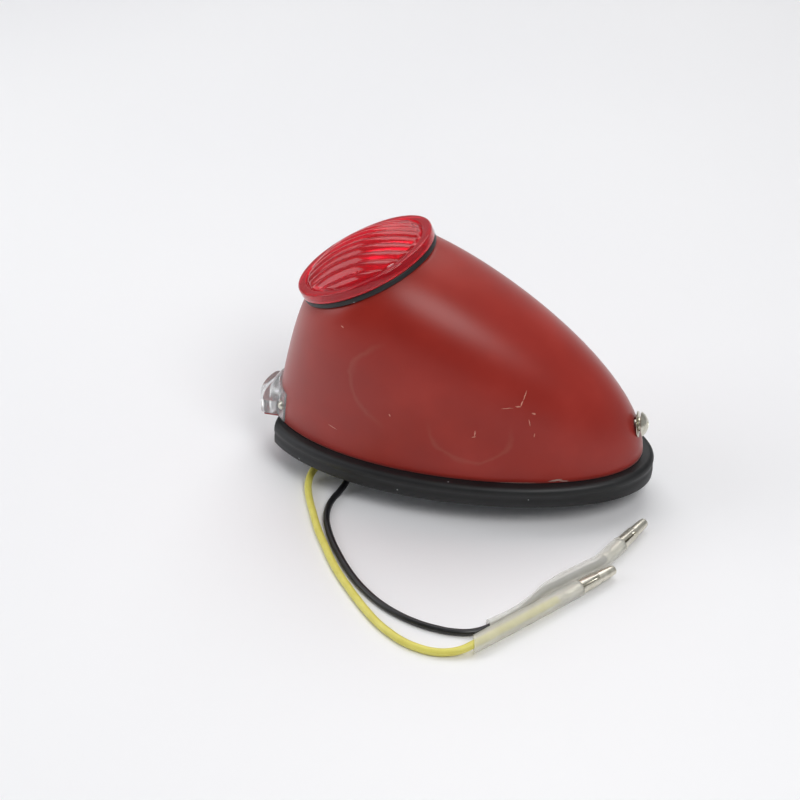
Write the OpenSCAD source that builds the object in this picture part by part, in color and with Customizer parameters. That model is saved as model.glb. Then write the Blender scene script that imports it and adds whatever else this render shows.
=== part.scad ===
// Fender tail light for a motorcycle: pressed steel shell, twist-in red lens,
// clear number plate window, rubber base gasket, three mounting studs and two leads.
// Millimetres. +Z up, +X towards the narrow tail, origin at the middle of the footprint.
// The lamp stands on the tips of its studs at z = 0.

/* [Shell] */
// Reach of the shell from its widest section to the tail
tail_reach = 84; // [80:1:88]
// Reach of the shell from its widest section to the blunt end
blunt_reach = 76.5; // [74:0.5:79]
// Half of the shell's greatest width
half_w = 38; // [36:0.5:40]
// Height of the shell's lower edge above the stud tips
edge_z = 20.5; // [20:0.5:22]
// Thickness of the pressed steel
shell_t = 1.0; // [0.8:0.1:1.2]
// Radius of the round mouth under the lens, outside
mouth_r = 29; // [28.5:0.5:29.5]
// Radius of the hole in the mouth's turned-in flange
mouth_hole_r = 26.4; // [26.2:0.1:26.6]

/* [Lens] */
// Diameter of the lens flange
lens_d = 61; // [60:0.5:62]
// Lean of the lens from level towards the blunt end, in degrees
lens_tilt = 26.7; // [24:0.1:28]
// Thickness of the lens flange
flange_t = 4; // [3:0.5:5]
// Radius of the ribbed window of the lens
ribbed_r = 26.2; // [25.8:0.2:26.6]
// Number of moulded ribs across the lens
rib_count = 10; // [8:1:12]
// Height of each rib
rib_h = 1.1; // [0.6:0.1:1.4]
// Sphere radius of the lens dome
dome_r = 52; // [48:1:60]
// Thickness of the rubber ring under the lens
lens_gasket_t = 2.6; // [2.4:0.1:3]

/* [Base] */
// Overhang of the rubber base gasket around the shell
gasket_lip = 5; // [4:0.5:5.5]
// Width of the gasket band inside the shell's outline
gasket_band = 7; // [6.5:0.5:7.5]
// Crown radius of the fender that the gasket fits
fender_crown_r = 110; // [100:5:140]
// Radius of the fender along the wheel
fender_wheel_r = 380; // [340:10:420]
// Thickness of the steel base plate
plate_t = 1.2; // [1:0.1:1.5]
// Diameter of the circle of mounting studs
stud_pcd = 50; // [48:1:52]
// Diameter of each mounting stud
stud_d = 6; // [5:1:6]

/* [Bulb] */
// Height of the bulb holder's mouth above the stud tips
holder_top_z = 52; // [50:1:54]
// Outer diameter of the bulb holder
holder_d = 17; // [16.8:0.1:17.4]
// Diameter of the bulb's brass cap
cap_d = 15; // [14.9:0.1:15.1]
// Diameter of the glass envelope
glass_d = 18; // [16:1:20]

/* [Leads] */
// Outer diameter of the yellow lead
yellow_d = 3.2; // [3:0.1:3.4]
// Outer diameter of the black lead
black_d = 2.8; // [2.6:0.1:3]
// Outer diameter of the clear sleeves
sleeve_d = 7; // [6.6:0.1:7]
// Diameter of the nose of the bullet terminals
bullet_d = 4.7; // [4.6:0.1:4.8]
// Length of the bullet terminals beyond their sleeves
bullet_len = 19; // [18:0.5:20]

/* [Hidden] */
$fn = 64;
eps = 0.01;

// shell
wide_x = -2.6;
shell_sides = 60;
outer_steps = 14;
inner_steps = 8;
tail_rise = 34;
tail_pull = 34.5;
tail_fall = 22;
blunt_rise = 2;
blunt_pull = 13;
blunt_fall = 57;
side_rise = 32;
side_pull = 15;
side_fall = 48;

// lens seat: centre of the underside of the lens flange
seat = [-39.2, 0, 96.1];
lens_up = [-sin(lens_tilt), 0, cos(lens_tilt)];
lens_fore = [cos(lens_tilt), 0, sin(lens_tilt)];
lens_wall = 2;
rim_sink = 0.8;
rib_steps = 4;
arch_steps = 12;
spigot_r = 25.8;
spigot_wall = 2;
spigot_depth = 7;
lug_count = 3;
lug_arc = 20;
lug_r = 27.8;
lug_gap = 0.4;
lug_h = 2;
notch_arc = 26;
unlock_turn = 35;

// base gasket
cut_x = -76;
gasket_run = 64;
gasket_flat = 8;
crown_z = edge_z - 0.1;

// base plate and studs
plate_inset = 1.8;
plate_cut_x = -66;
plate_z = edge_z;
plate_top = plate_z + plate_t;
stud_x = -8;
stud_head_r = 5.5;
stud_head_h = 4;
stud_tip = 0.6;
shank_relief = 0.05;
shank_below = 0.3;
washer_t = 0.8;
grommet_at = [-46, -16];
bore_gap = 1.9;
bore_r = 1.62;
grommet_flange_r = 5.3;
grommet_waist_r = 4.1;

// number plate window
window_half_w = 12;
window_top_z = 35;
window_face_x = -86.4;
window_bow_r = 26;
dome_face_x = -82.4;
step_z = 28;
window_wall = 1.8;
window_flange_t = 1;
window_flange_w = 16.3;
window_rivet_turn = 21.5;
window_rivet_t = 0.2;
lip_t = 0.8;
hood_top_x = -74;
hood_back_x = -70;
ledge_inset = 1;
ledge_back_x = -73;
opening_half_w = 9.5;
opening_bottom_z = 24;
opening_top_z = 32;
opening_reach = 20;

// shell screw
screw_at = [78.1, 0, 35.5];
screw_lean = 10;
screw_r = 2;
head_r = 5.2;
recess_len = 5;
recess_w = 1.1;
bracket_back = -8;
bracket_t = 1.2;
bracket_w = 12;
bracket_rivet_x = 63.2;

// bulb and holder
bulb_x = -32;
bracket_top_z = 33;
bridge_t = 1.2;
bridge_w = 21;
bridge_half = 15;
bridge_lean = 3;
bridge_foot = 8;
bridge_rivet_x = 19.2;
rivet_r = 1.6;
rivet_head_r = 2.8;
holder_wall = 0.7;
holder_len = 24;
holder_floor = 1;
holder_z = holder_top_z - holder_len;
cap_len = 15;
cap_sink = 13;
cap_z = holder_top_z - cap_sink;
bulb_top_z = 82;
pin_r = 1;
pin_z = cap_z + 7;
slot_w = 2.4;
slot_turn = 30;
push = 2;
plunger_r = 1.6;
insulator_t = 2;
plunger_head_t = 1.4;
contact_drop = 1.9;
spring_z = holder_z + holder_floor + insulator_t;
plunger_head_z = cap_z - contact_drop - plunger_head_t;
spring_r = 2.9;
spring_wire_r = 0.3;
spring_curls = 3;
rings_per_curl = 8;

// leads and terminals
lead_sides = 8;
sleeve_sides = 16;
sleeve_wall = 1.2;
crimp_len = 12;
crimp_lead_in = 3;
crimp_r = 1.9;
barrel_r = 2.9;
barrel_len = 6.5;
waist_r = 2.1;
nose_taper = 3;
nose_tip_r = 1.8;
seam_turn = 225;
seam_w = 0.5;
seam_depth = 0.7;

spring_rise = plunger_head_z - spring_z - 2 * spring_wire_r;
echo(spring_gap_mm = spring_rise / spring_curls - 2 * spring_wire_r);

// Shell outline at the lower edge, moved outwards by d
function outline(a, d) = [
    wide_x + ((cos(a) > 0 ? tail_reach : blunt_reach) + d) * cos(a),
    (half_w + d) * sin(a)
];

// Blend of a tail, a side and a blunt-end value around the shell
function around(a, tail, side, blunt) =
    side * pow(sin(a), 2) + (cos(a) > 0 ? tail : blunt) * pow(cos(a), 2);

function unit(v) = v / norm(v);

function bezier(p0, p1, p2, p3, t) =
    pow(1 - t, 3) * p0 + 3 * pow(1 - t, 2) * t * p1
    + 3 * (1 - t) * t * t * p2 + t * t * t * p3;

// Point on a circle about the lens axis, h above the underside of the flange
function on_lens(a, r, h) =
    seat + h * lens_up + r * (cos(a) * lens_fore + sin(a) * [0, 1, 0]);

// Point on the shell's skin: a is the angle around, t runs from the edge up to the mouth
function skin(a, t, inset, down) =
    let(foot = concat(outline(a, -inset), edge_z),
        head = on_lens(a, mouth_r - inset, -down),
        away = head - (seat - down * lens_up),
        fall = around(a, tail_fall, side_fall, blunt_fall),
        rise = around(a, tail_rise, side_rise, blunt_rise),
        pull = around(a, tail_pull, side_pull, blunt_pull))
    bezier(foot, foot + [0, 0, rise],
        head + pull * (cos(fall) * unit([away.x, away.y, 0]) - [0, 0, sin(fall)]),
        head, t);

// Closed surface through a list of rings, each with the same number of points
module loft(rings, closed = false) {
    n = len(rings[0]);
    m = len(rings);
    points = [for (ring = rings) each ring];
    last = closed ? m - 1 : m - 2;
    sides = [for (i = [0 : last], j = [0 : n - 1])
        let(a = i * n + j, b = i * n + (j + 1) % n,
            c = ((i + 1) % m) * n + j, d = ((i + 1) % m) * n + (j + 1) % n)
        each [[a, c, b], [b, c, d]]];
    caps = closed ? [] : [[for (j = [0 : n - 1]) j], [for (j = [n - 1 : -1 : 0]) (m - 1) * n + j]];
    polyhedron(points, concat(sides, caps), convexity = 8);
}

function ring_of(f_inset, f_down, t) =
    [for (j = [0 : shell_sides - 1]) skin(j * 360 / shell_sides, t, f_inset, f_down)];

function flange_ring(r, h) =
    [for (j = [0 : shell_sides - 1]) on_lens(j * 360 / shell_sides, r, h)];

// Places children on the lens axis, at the underside of the lens flange
module at_lens() {
    translate(seat) rotate([0, -lens_tilt, 0]) children();
}

// Places children on the shell screw's axis, pointing out of the tail
module at_screw() {
    translate(screw_at) rotate([0, 90 - screw_lean, 0]) children();
}

// Places children at p with +Z towards q
module towards(p, q) {
    d = q - p;
    translate(p) rotate([0, acos(d.z / norm(d)), atan2(d.y, d.x)]) children();
}

// A sector of a ring, centred on angle a
module arc_ring(r0, r1, h, a, span) {
    rotate([0, 0, a - span / 2])
        rotate_extrude(angle = span) translate([r0, 0]) square([r1 - r0, h]);
}

module shell_skin() {
    outer_rings = [for (i = [0 : outer_steps]) ring_of(0, lens_gasket_t, i / outer_steps)];
    lip_top = flange_ring(mouth_hole_r, -lens_gasket_t);
    lip_under = flange_ring(mouth_hole_r, -lens_gasket_t - shell_t);
    inner_rings = [for (i = [inner_steps : -1 : 0])
        ring_of(shell_t, lens_gasket_t + shell_t, i / inner_steps)];
    loft(concat(outer_rings, [lip_top, lip_under], inner_rings), closed = true);
}

// The shell's outside as a full solid, grown by g
module shell_body(g = 0) {
    loft([for (i = [0 : outer_steps]) ring_of(-g, lens_gasket_t, i / outer_steps)]);
}

// Ledge at the foot of the shell's blunt end, under the clear hood
module hood_ledge() {
    translate([0, 0, edge_z]) linear_extrude(lip_t) intersection() {
        translate([window_face_x, -window_half_w])
            square([ledge_back_x - window_face_x, 2 * window_half_w]);
        translate([window_face_x + window_bow_r, 0])
            circle(r = window_bow_r - ledge_inset, $fn = 96);
    }
}

module shell() {
    color("#8a2a20") difference() {
        union() {
            shell_skin();
            hood_ledge();
        }
        translate([window_face_x, -opening_half_w, opening_bottom_z])
            cube([opening_reach, 2 * opening_half_w, opening_top_z - opening_bottom_z]);
        at_screw() translate([0, 0, -6]) cylinder(r = screw_r + 1, h = 12);
        at_lens() for (k = [0 : lug_count - 1])
            translate([0, 0, -lens_gasket_t - shell_t - eps])
                arc_ring(mouth_hole_r - 1, lug_r + 0.4, shell_t + 1, k * 360 / lug_count + unlock_turn, notch_arc);
    }
}

// Height of the plain dome above its rim
function dome_h(x, y) =
    sqrt(max(dome_r * dome_r - x * x - y * y, 0)) - sqrt(dome_r * dome_r - ribbed_r * ribbed_r);

// Height that a rib adds at y, across the ribs
function rib_bump(y) =
    let(pitch = 2 * ribbed_r / rib_count, f = y / pitch + rib_count / 2)
    rib_h * abs(sin(180 * f));

// Ribbed dome: one slice after another across the ribs, each an arch of the lens wall
module lens_dome() {
    slices = rib_count * rib_steps;
    rim = flange_t - rim_sink;
    loft([for (j = [0 : slices])
        let(y = (ribbed_r - eps) * (2 * j / slices - 1), reach = sqrt(ribbed_r * ribbed_r - y * y))
        concat(
            [for (i = [0 : arch_steps]) let(x = reach * (2 * i / arch_steps - 1))
                [x, y, rim + dome_h(x, y) + rib_bump(y)]],
            [for (i = [arch_steps : -1 : 0]) let(x = reach * (2 * i / arch_steps - 1))
                [x, y, rim + dome_h(x, y) - lens_wall]])
    ]);
}

module lens() {
    r = lens_d / 2;
    color("#c01828") at_lens() union() {
        lens_dome();
        rotate_extrude($fn = 96) polygon([
            [ribbed_r - 0.4, 0], [r - 0.5, 0], [r, 0.5], [r, flange_t - 0.8],
            [r - 0.8, flange_t], [ribbed_r + 0.8, flange_t], [ribbed_r - 0.4, flange_t - 0.6]
        ]);
        translate([0, 0, -spigot_depth]) difference() {
            cylinder(r = spigot_r, h = spigot_depth + 1, $fn = 96);
            translate([0, 0, -1]) cylinder(r = spigot_r - spigot_wall, h = spigot_depth + 3, $fn = 96);
        }
        for (k = [0 : lug_count - 1])
            translate([0, 0, -lens_gasket_t - shell_t - lug_gap - lug_h])
                arc_ring(spigot_r - 0.5, lug_r, lug_h, k * 360 / lug_count, lug_arc);
    }
}

module lens_gasket() {
    color("#18181a") at_lens() rotate_extrude($fn = 96) translate([0, -lens_gasket_t])
        polygon([
            [mouth_hole_r + 0.2, 0], [mouth_r + 0.6, 0], [mouth_r + 1.2, 0.6],
            [mouth_r + 1.2, lens_gasket_t - 0.7], [mouth_r + 0.8, lens_gasket_t - 0.1],
            [mouth_hole_r + 0.2, lens_gasket_t - 0.1]
        ]);
}

// Side view of the clear hood over the opening, grown by g
module hood_profile(g) {
    top = [hood_top_x, window_top_z + g];
    face = [dome_face_x - g, step_z + g];
    polygon(concat(
        [for (i = [0 : 8]) bezier(top, top + [-4.5, 0], face + [0, 4], face, i / 8)],
        [[window_face_x - g, step_z + g], [window_face_x - g, edge_z + lip_t],
         [hood_back_x, edge_z + lip_t], [hood_back_x, window_top_z + g]]
    ));
}

// Solid hood, bowed a little across its face, grown by g
module hood(g) {
    intersection() {
        rotate([90, 0, 0]) linear_extrude(2 * (window_half_w + g), center = true) hood_profile(g);
        translate([window_face_x + window_bow_r, 0, 0]) cylinder(r = window_bow_r + g, h = 60, $fn = 96);
    }
}

// Clear hood with a flange that follows the shell on both sides of the opening
module plate_window() {
    flange_h = window_top_z - opening_bottom_z - 1;
    color("#e8ecec") difference() {
        union() {
            hood(0);
            intersection() {
                shell_body(window_flange_t);
                translate([window_face_x, -window_flange_w, opening_bottom_z])
                    cube([opening_reach, 2 * window_flange_w, flange_h]);
            }
        }
        hood(-window_wall);
        shell_body();
    }
}

// Round-headed rivets that hold the hood's flange to the shell
module window_rivets() {
    color("silver") for (side = [-1, 1]) {
        a = 180 + side * window_rivet_turn;
        foot = skin(a, window_rivet_t, 0, lens_gasket_t);
        out = unit([cos(a) / blunt_reach, sin(a) / half_w, 0.1 / half_w]);
        towards(foot, foot + out) difference() {
            translate([0, 0, window_flange_t - 0.7]) sphere(r = 1.9);
            translate([0, 0, window_flange_t + 0.12 - 4]) cylinder(r = 4, h = 4);
        }
    }
}

// Height of the fender's surface under the lamp
function fender_z(p) =
    crown_z - (fender_wheel_r - sqrt(pow(fender_wheel_r, 2) - p.x * p.x))
    - (fender_crown_r - sqrt(pow(fender_crown_r, 2) - p.y * p.y));

// Gasket outline, moved outwards by d and cut square across the blunt end
function gasket_pt(d, i) =
    let(cut = cut_x + gasket_lip - d,
        corner = acos((cut - wide_x) / (blunt_reach + d)),
        f = (i - gasket_run) / gasket_flat,
        end = outline(corner, d))
    i <= gasket_run ? outline(corner * (2 * i / gasket_run - 1), d)
                    : [end.x, end.y * (1 - 2 * f)];

// A gasket ring at offset d: at height z, or on the fender where z is undef
function gasket_ring(d, z) =
    [for (i = [0 : gasket_run + gasket_flat - 1])
        let(p = gasket_pt(d, i)) [p.x, p.y, is_undef(z) ? fender_z(p) : z]];

module base_gasket() {
    top = edge_z;
    color("#232427") loft([
        gasket_ring(gasket_lip, undef), gasket_ring(gasket_lip, top - 6.6),
        gasket_ring(gasket_lip - 0.4, top - 6), gasket_ring(gasket_lip, top - 5.4),
        gasket_ring(gasket_lip, top - 2.6), gasket_ring(gasket_lip - 0.7, top - 1),
        gasket_ring(gasket_lip - 2, top - 0.2), gasket_ring(gasket_lip - 3.2, top),
        gasket_ring(-gasket_band, top), gasket_ring(-gasket_band, undef),
        gasket_ring(-2, undef)
    ], closed = true);
}

function stud_pos(k) =
    [stud_x + stud_pcd / 2 * cos(k * 120), stud_pcd / 2 * sin(k * 120)];

module base_plate() {
    rim = [for (i = [0 : 95]) outline(i * 3.75, -plate_inset)];
    color("#b9bcc0") difference() {
        translate([0, 0, plate_z]) linear_extrude(plate_t) intersection() {
            polygon(rim);
            translate([plate_cut_x, -half_w]) square([200, 2 * half_w]);
        }
        for (k = [0 : 2]) translate([stud_pos(k).x, stud_pos(k).y, 0])
            cylinder(r = stud_d / 2 + 0.05, h = 40);
        translate([grommet_at.x, grommet_at.y, 0]) cylinder(r = grommet_waist_r, h = 40);
    }
}

module mounting_studs() {
    color("#a8abb0") for (k = [0 : 2]) translate([stud_pos(k).x, stud_pos(k).y, 0]) {
        translate([0, 0, stud_tip]) cylinder(r = stud_d / 2, h = plate_z - shank_below - stud_tip);
        cylinder(r1 = stud_d / 2 - stud_tip, r2 = stud_d / 2, h = stud_tip);
        translate([0, 0, stud_tip])
            cylinder(r = stud_d / 2 - shank_relief, h = plate_top + washer_t);
        translate([0, 0, plate_top + washer_t]) cylinder(r = stud_head_r, h = stud_head_h, $fn = 6);
    }
}

module stud_washers() {
    color("silver") for (k = [0 : 2]) translate([stud_pos(k).x, stud_pos(k).y, plate_top])
        difference() {
            cylinder(r = stud_head_r, h = washer_t);
            translate([0, 0, -1]) cylinder(r = stud_d / 2 + 0.05, h = 3);
        }
}

module screw_bracket() {
    lean = screw_lean;
    base = [screw_at.x + bracket_back * cos(lean), screw_at.z + bracket_back * sin(lean)];
    across = [-sin(lean), cos(lean)];
    low = base - across * (base.y - plate_top - 1) / cos(lean);
    high = base + across * 8;
    back = [cos(lean), sin(lean)] * bracket_t;
    color("#b9bcc0") difference() {
        rotate([90, 0, 0]) linear_extrude(bracket_w, center = true) polygon([
            high, high - back, low - back, [low.x - 16, plate_top + bracket_t],
            [low.x - 16, plate_top], [low.x, plate_top], low
        ]);
        at_screw() translate([0, 0, -20]) cylinder(r = screw_r + 0.2, h = 20);
        translate([bracket_rivet_x, 0, 0]) cylinder(r = rivet_r, h = 60);
    }
}

module captive_nut() {
    color("#9a9da2") at_screw() translate([0, 0, bracket_back - bracket_t - 3.2]) difference() {
        cylinder(r = 4, h = 3.2, $fn = 6);
        translate([0, 0, -1]) cylinder(r = screw_r + 0.02, h = 6);
    }
}

module shell_screw() {
    color("#c9c8b8") at_screw() {
        difference() {
            translate([0, 0, 1.8]) intersection() {
                cylinder(r = head_r, h = 4);
                translate([0, 0, 2.8 - 6.4]) sphere(r = 6.4);
            }
            for (a = [45, 135]) rotate([0, 0, a])
                translate([-recess_len / 2, -recess_w / 2, 2.8]) cube([recess_len, recess_w, 3]);
        }
        translate([0, 0, -14]) cylinder(r = screw_r, h = 16);
    }
}

module screw_washer() {
    color("silver") at_screw() translate([0, 0, 0.9]) difference() {
        cylinder(r = 5.6, h = 0.8);
        translate([0, 0, -1]) cylinder(r = screw_r + 0.2, h = 3);
    }
}

// Bridge of bent strip over the base plate that carries the bulb holder
module bulb_bracket() {
    t = bridge_t;
    top = bracket_top_z;
    color("#b9bcc0") difference() {
        translate([bulb_x, 0, 0]) rotate([90, 0, 0]) linear_extrude(bridge_w, center = true) polygon([
            [-bridge_half - bridge_foot, plate_top], [-bridge_half + t, plate_top],
            [-bridge_half + bridge_lean + t, top - t], [bridge_half - bridge_lean - t, top - t],
            [bridge_half - t, plate_top], [bridge_half + bridge_foot, plate_top],
            [bridge_half + bridge_foot, plate_top + t], [bridge_half, plate_top + t],
            [bridge_half - bridge_lean, top], [bridge_lean - bridge_half, top],
            [-bridge_half, plate_top + t], [-bridge_half - bridge_foot, plate_top + t]
        ]);
        translate([bulb_x, 0, 0]) cylinder(r = holder_d / 2, h = 60);
        for (side = [-1, 1]) translate([bulb_x + side * bridge_rivet_x, 0, 0]) cylinder(r = rivet_r, h = 60);
    }
}

// Round-headed rivets through the feet of the bridge and of the screw bracket
module bracket_rivets() {
    places = [bulb_x - bridge_rivet_x, bulb_x + bridge_rivet_x, bracket_rivet_x];
    color("silver") for (x = places) translate([x, 0, plate_top]) {
        cylinder(r = rivet_r, h = bridge_t);
        translate([0, 0, bridge_t]) intersection() {
            cylinder(r = rivet_head_r, h = 2);
            translate([0, 0, -1.8]) sphere(r = 3.4);
        }
    }
}

module bulb_holder() {
    color("#c8b070") translate([bulb_x, 0, 0]) difference() {
        union() {
            translate([0, 0, holder_z]) cylinder(r = holder_d / 2, h = holder_len);
            translate([0, 0, holder_top_z - 1]) cylinder(r = holder_d / 2 + 1.2, h = 1);
        }
        translate([0, 0, holder_z + holder_floor]) cylinder(r = holder_d / 2 - holder_wall, h = holder_len);
        translate([0, 0, holder_z - 1]) cylinder(r = 6, h = 4);
        for (a = [0, 180]) rotate([0, 0, a + 90]) holder_slot();
    }
}

// J slot: straight down from the mouth, across, then up a little for the pin's seat
module holder_slot() {
    low = pin_z - push - slot_w / 2;
    mid = low + slot_w / 2;
    for (leg = [[-slot_turn, holder_top_z + 1], [0, pin_z + slot_w / 2]])
        rotate([0, 0, leg[0]]) translate([0, -slot_w / 2, mid]) cube([20, slot_w, leg[1] - mid]);
    translate([0, 0, low])
        arc_ring(holder_d / 2 - 3, holder_d / 2 + 3, slot_w, -slot_turn / 2, slot_turn + 20);
}

module holder_insulator() {
    color("#5a3a22") translate([bulb_x, 0, holder_z + holder_floor]) difference() {
        cylinder(r = holder_d / 2 - holder_wall, h = insulator_t);
        translate([0, 0, -1]) cylinder(r = plunger_r + 0.05, h = 8);
    }
}

module contact_plunger() {
    color("#d9c27a") translate([bulb_x, 0, 0]) {
        translate([0, 0, holder_z - 1]) cylinder(r = plunger_r, h = plunger_head_z + 1 - holder_z);
        translate([0, 0, plunger_head_z]) cylinder(r = 4, h = plunger_head_t);
    }
}

// One ring of the spring's wire, t of the way up the coil, with six sides
function spring_ring(t) =
    let(a = 360 * spring_curls * t, z = spring_wire_r + spring_rise * t)
    [for (j = [0 : 5]) let(b = 30 - 60 * j, r = spring_r + spring_wire_r * cos(b))
        [r * cos(a), r * sin(a), z + spring_wire_r * sin(b)]];

module contact_spring() {
    steps = spring_curls * rings_per_curl;
    color("#b0b3b8") translate([bulb_x, 0, spring_z])
        loft([for (i = [0 : steps]) spring_ring(i / steps)]);
}

module bulb_cap() {
    color("#d0b35c") translate([bulb_x, 0, cap_z]) {
        cylinder(r = cap_d / 2, h = cap_len);
        translate([0, 0, pin_z - cap_z]) rotate([0, 90, 90])
            cylinder(r = pin_r, h = cap_d + 4.6, center = true);
    }
}

module bulb_glass() {
    glass_r = glass_d / 2;
    neck_z = cap_z + cap_len;
    color("#f4f4ee") translate([bulb_x, 0, 0]) difference() {
        union() {
            translate([0, 0, bulb_top_z - glass_r]) sphere(r = glass_r);
            translate([0, 0, neck_z]) cylinder(r1 = 6.5, r2 = glass_r, h = 5);
            translate([0, 0, neck_z + 5]) cylinder(r = glass_r, h = bulb_top_z - glass_r - neck_z - 5);
        }
        translate([0, 0, bulb_top_z - glass_r]) sphere(r = glass_r - 0.8);
        translate([0, 0, neck_z + 5]) cylinder(r = glass_r - 0.8, h = bulb_top_z - glass_r - neck_z - 5);
        translate([0, 0, neck_z - 1]) cylinder(r = 5, h = 8);
    }
}

module bulb_filament() {
    foot_z = cap_z + cap_len;
    coil_z = foot_z + 16;
    color("#7d7f84") translate([bulb_x, 0, 0]) {
        for (side = [-1, 1]) translate([0, side * 3, foot_z]) cylinder(r = 0.35, h = 16, $fn = 16);
        translate([0, 0, coil_z]) rotate([90, 0, 0]) cylinder(r = 0.5, h = 6.7, center = true, $fn = 16);
        translate([0, 0, foot_z]) cylinder(r = 4, h = 3);
    }
}

module bulb_contact() {
    color("#9fa3a6") translate([bulb_x, 0, cap_z - contact_drop]) {
        cylinder(r = 2, h = 0.9);
        translate([0, 0, 0.9]) cylinder(r = 4.5, h = 1);
    }
}

module lead_grommet() {
    color("#1a1a1c") translate([grommet_at.x, grommet_at.y, plate_z - 2]) difference() {
        union() {
            cylinder(r = grommet_flange_r, h = 2);
            cylinder(r = grommet_waist_r, h = plate_t + 4);
            translate([0, 0, 2 + plate_t]) cylinder(r = grommet_flange_r, h = 2);
        }
        for (x = [-bore_gap, bore_gap]) translate([x, 0, -1]) cylinder(r = bore_r, h = 12);
    }
}

// Rings of radius r along a list of points, each square to the run
function tube_rings(points, r, sides) =
    let(last = len(points) - 1)
    [for (i = [0 : last])
        let(a = points[max(i - 1, 0)], b = points[min(i + 1, last)],
            run = unit(b - a),
            flat = abs(run.z) > 0.9 ? unit(cross([0, 1, 0], run)) : unit(cross([0, 0, 1], run)),
            rise = cross(run, flat))
        [for (j = [0 : sides - 1])
            points[i] + r * (cos(j * 360 / sides) * flat + sin(j * 360 / sides) * rise)]];

module lead(points, d) {
    loft(tube_rings(points, d / 2, lead_sides));
}

// Yellow lead, from the grommet out under the gasket and over the table
yellow_route = [
    [-47.9, -16, 18.5], [-47.9, -16, 16.3], [-48.8, -17, 12.8], [-51.5, -19.3, 9], [-54.8, -22.3, 6],
    [-57, -26, 3.9], [-57.2, -31, 2.2], [-55.8, -36.5, 1.6], [-53, -43.5, 1.6],
    [-50, -50, 1.6], [-46.7, -57, 1.6], [-43, -64, 1.6], [-38.5, -71.5, 1.6], [-34, -79, 1.6],
    [-28.5, -87, 1.6], [-22.5, -94.5, 1.6], [-17, -101, 1.6], [-11.5, -107, 1.6],
    [-5.5, -112.8, 1.6], [0.5, -117.2, 1.6], [6, -120.4, 1.6], [12, -122.4, 1.6],
    [18, -123.2, 1.6], [23.7, -122.5, 1.8], [28.8, -120.6, 2.5]
];
// The lead's line inside its sleeve, then the sleeve's end and the way the terminal points
yellow_bend = [[33.2, -117.2, 3.5], [41.5, -106.7, 3.5], [50, -95.8, 3.5]];
yellow_end = [67.1, -73.8, 3.5];
yellow_heading = 52;

// Black lead, beside the yellow one at the grommet, inside it and then behind its sleeve
black_route = [
    [-44.1, -16, 18.5], [-44.1, -16, 16.3], [-43.4, -17, 12.8], [-41.8, -19.5, 9],
    [-40.6, -23, 6], [-41, -28, 3.6], [-42.6, -33.5, 1.8], [-44.1, -39, 1.4],
    [-44.4, -46, 1.4], [-43, -53.5, 1.4], [-40.2, -60.5, 1.4], [-36.5, -67.5, 1.4],
    [-32.1, -74.5, 1.4], [-27.2, -81.5, 1.4], [-21.5, -88.5, 1.4], [-15, -95, 1.4],
    [-8, -100.5, 1.4], [0, -105, 1.4], [8, -108, 1.4], [16, -109.6, 1.4], [24, -109.8, 1.4],
    [30.8, -108.1, 1.4], [36.3, -104, 1.4], [41.3, -98.2, 1.4], [46.1, -91.9, 1.5],
    [49.8, -85.7, 2.3]
];
black_bend = [[53.4, -79.7, 3.5], [59.5, -71.8, 3.5], [65.9, -64, 3.5], [70.7, -58.5, 3.5]];
black_end = [79.1, -42, 3.5];
black_heading = 66;

function heading(a) = [cos(a), sin(a), 0];

// A bend, then the straight run into the crimp
function sleeve_line(bend, end, a) =
    concat(bend, [for (back = [crimp_lead_in, 0]) end - (crimp_len + back) * heading(a)]);

module yellow_lead() {
    color("#e6de4a")
        lead(concat(yellow_route, sleeve_line(yellow_bend, yellow_end, yellow_heading)), yellow_d);
}

module black_lead() {
    color("#1b1b1e")
        lead(concat(black_route, sleeve_line(black_bend, black_end, black_heading)), black_d);
}

// Soft sleeve around the end of a lead and the barrel of its terminal
module sleeve(bend, end, a) {
    line = concat(sleeve_line(bend, end, a), [end]);
    outer = tube_rings(line, sleeve_d / 2, sleeve_sides);
    inner = tube_rings(line, sleeve_d / 2 - sleeve_wall, sleeve_sides);
    loft(concat(outer, [for (i = [len(inner) - 1 : -1 : 0]) inner[i]]), closed = true);
}

module yellow_sleeve() {
    color("#e4e4da") sleeve(yellow_bend, yellow_end, yellow_heading);
}

module black_sleeve() {
    color("#e4e4da") sleeve(black_bend, black_end, black_heading);
}

// Bullet terminal: crimp, open-seamed barrel, waist and tapered nose
module bullet(end, a) {
    nose_r = bullet_d / 2;
    translate(end) rotate([0, 90, a]) difference() {
        rotate_extrude() polygon([
            [0, -crimp_len], [crimp_r - 0.2, -crimp_len], [crimp_r, 0.4 - crimp_len],
            [crimp_r, 0.1], [barrel_r, 0.5], [barrel_r, barrel_len], [waist_r, barrel_len + 1.4],
            [nose_r, barrel_len + 2.2], [nose_r, bullet_len - nose_taper],
            [nose_tip_r, bullet_len - 0.4], [nose_tip_r - 0.5, bullet_len], [0, bullet_len]
        ]);
        rotate([0, 0, seam_turn]) translate([barrel_r - seam_depth, -seam_w / 2, -0.2])
            cube([seam_depth + 1, seam_w, barrel_len + 1]);
    }
}

module yellow_bullet() {
    color("#c8c6bc") bullet(yellow_end, yellow_heading);
}

module black_bullet() {
    color("#c8c6bc") bullet(black_end, black_heading);
}

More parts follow.
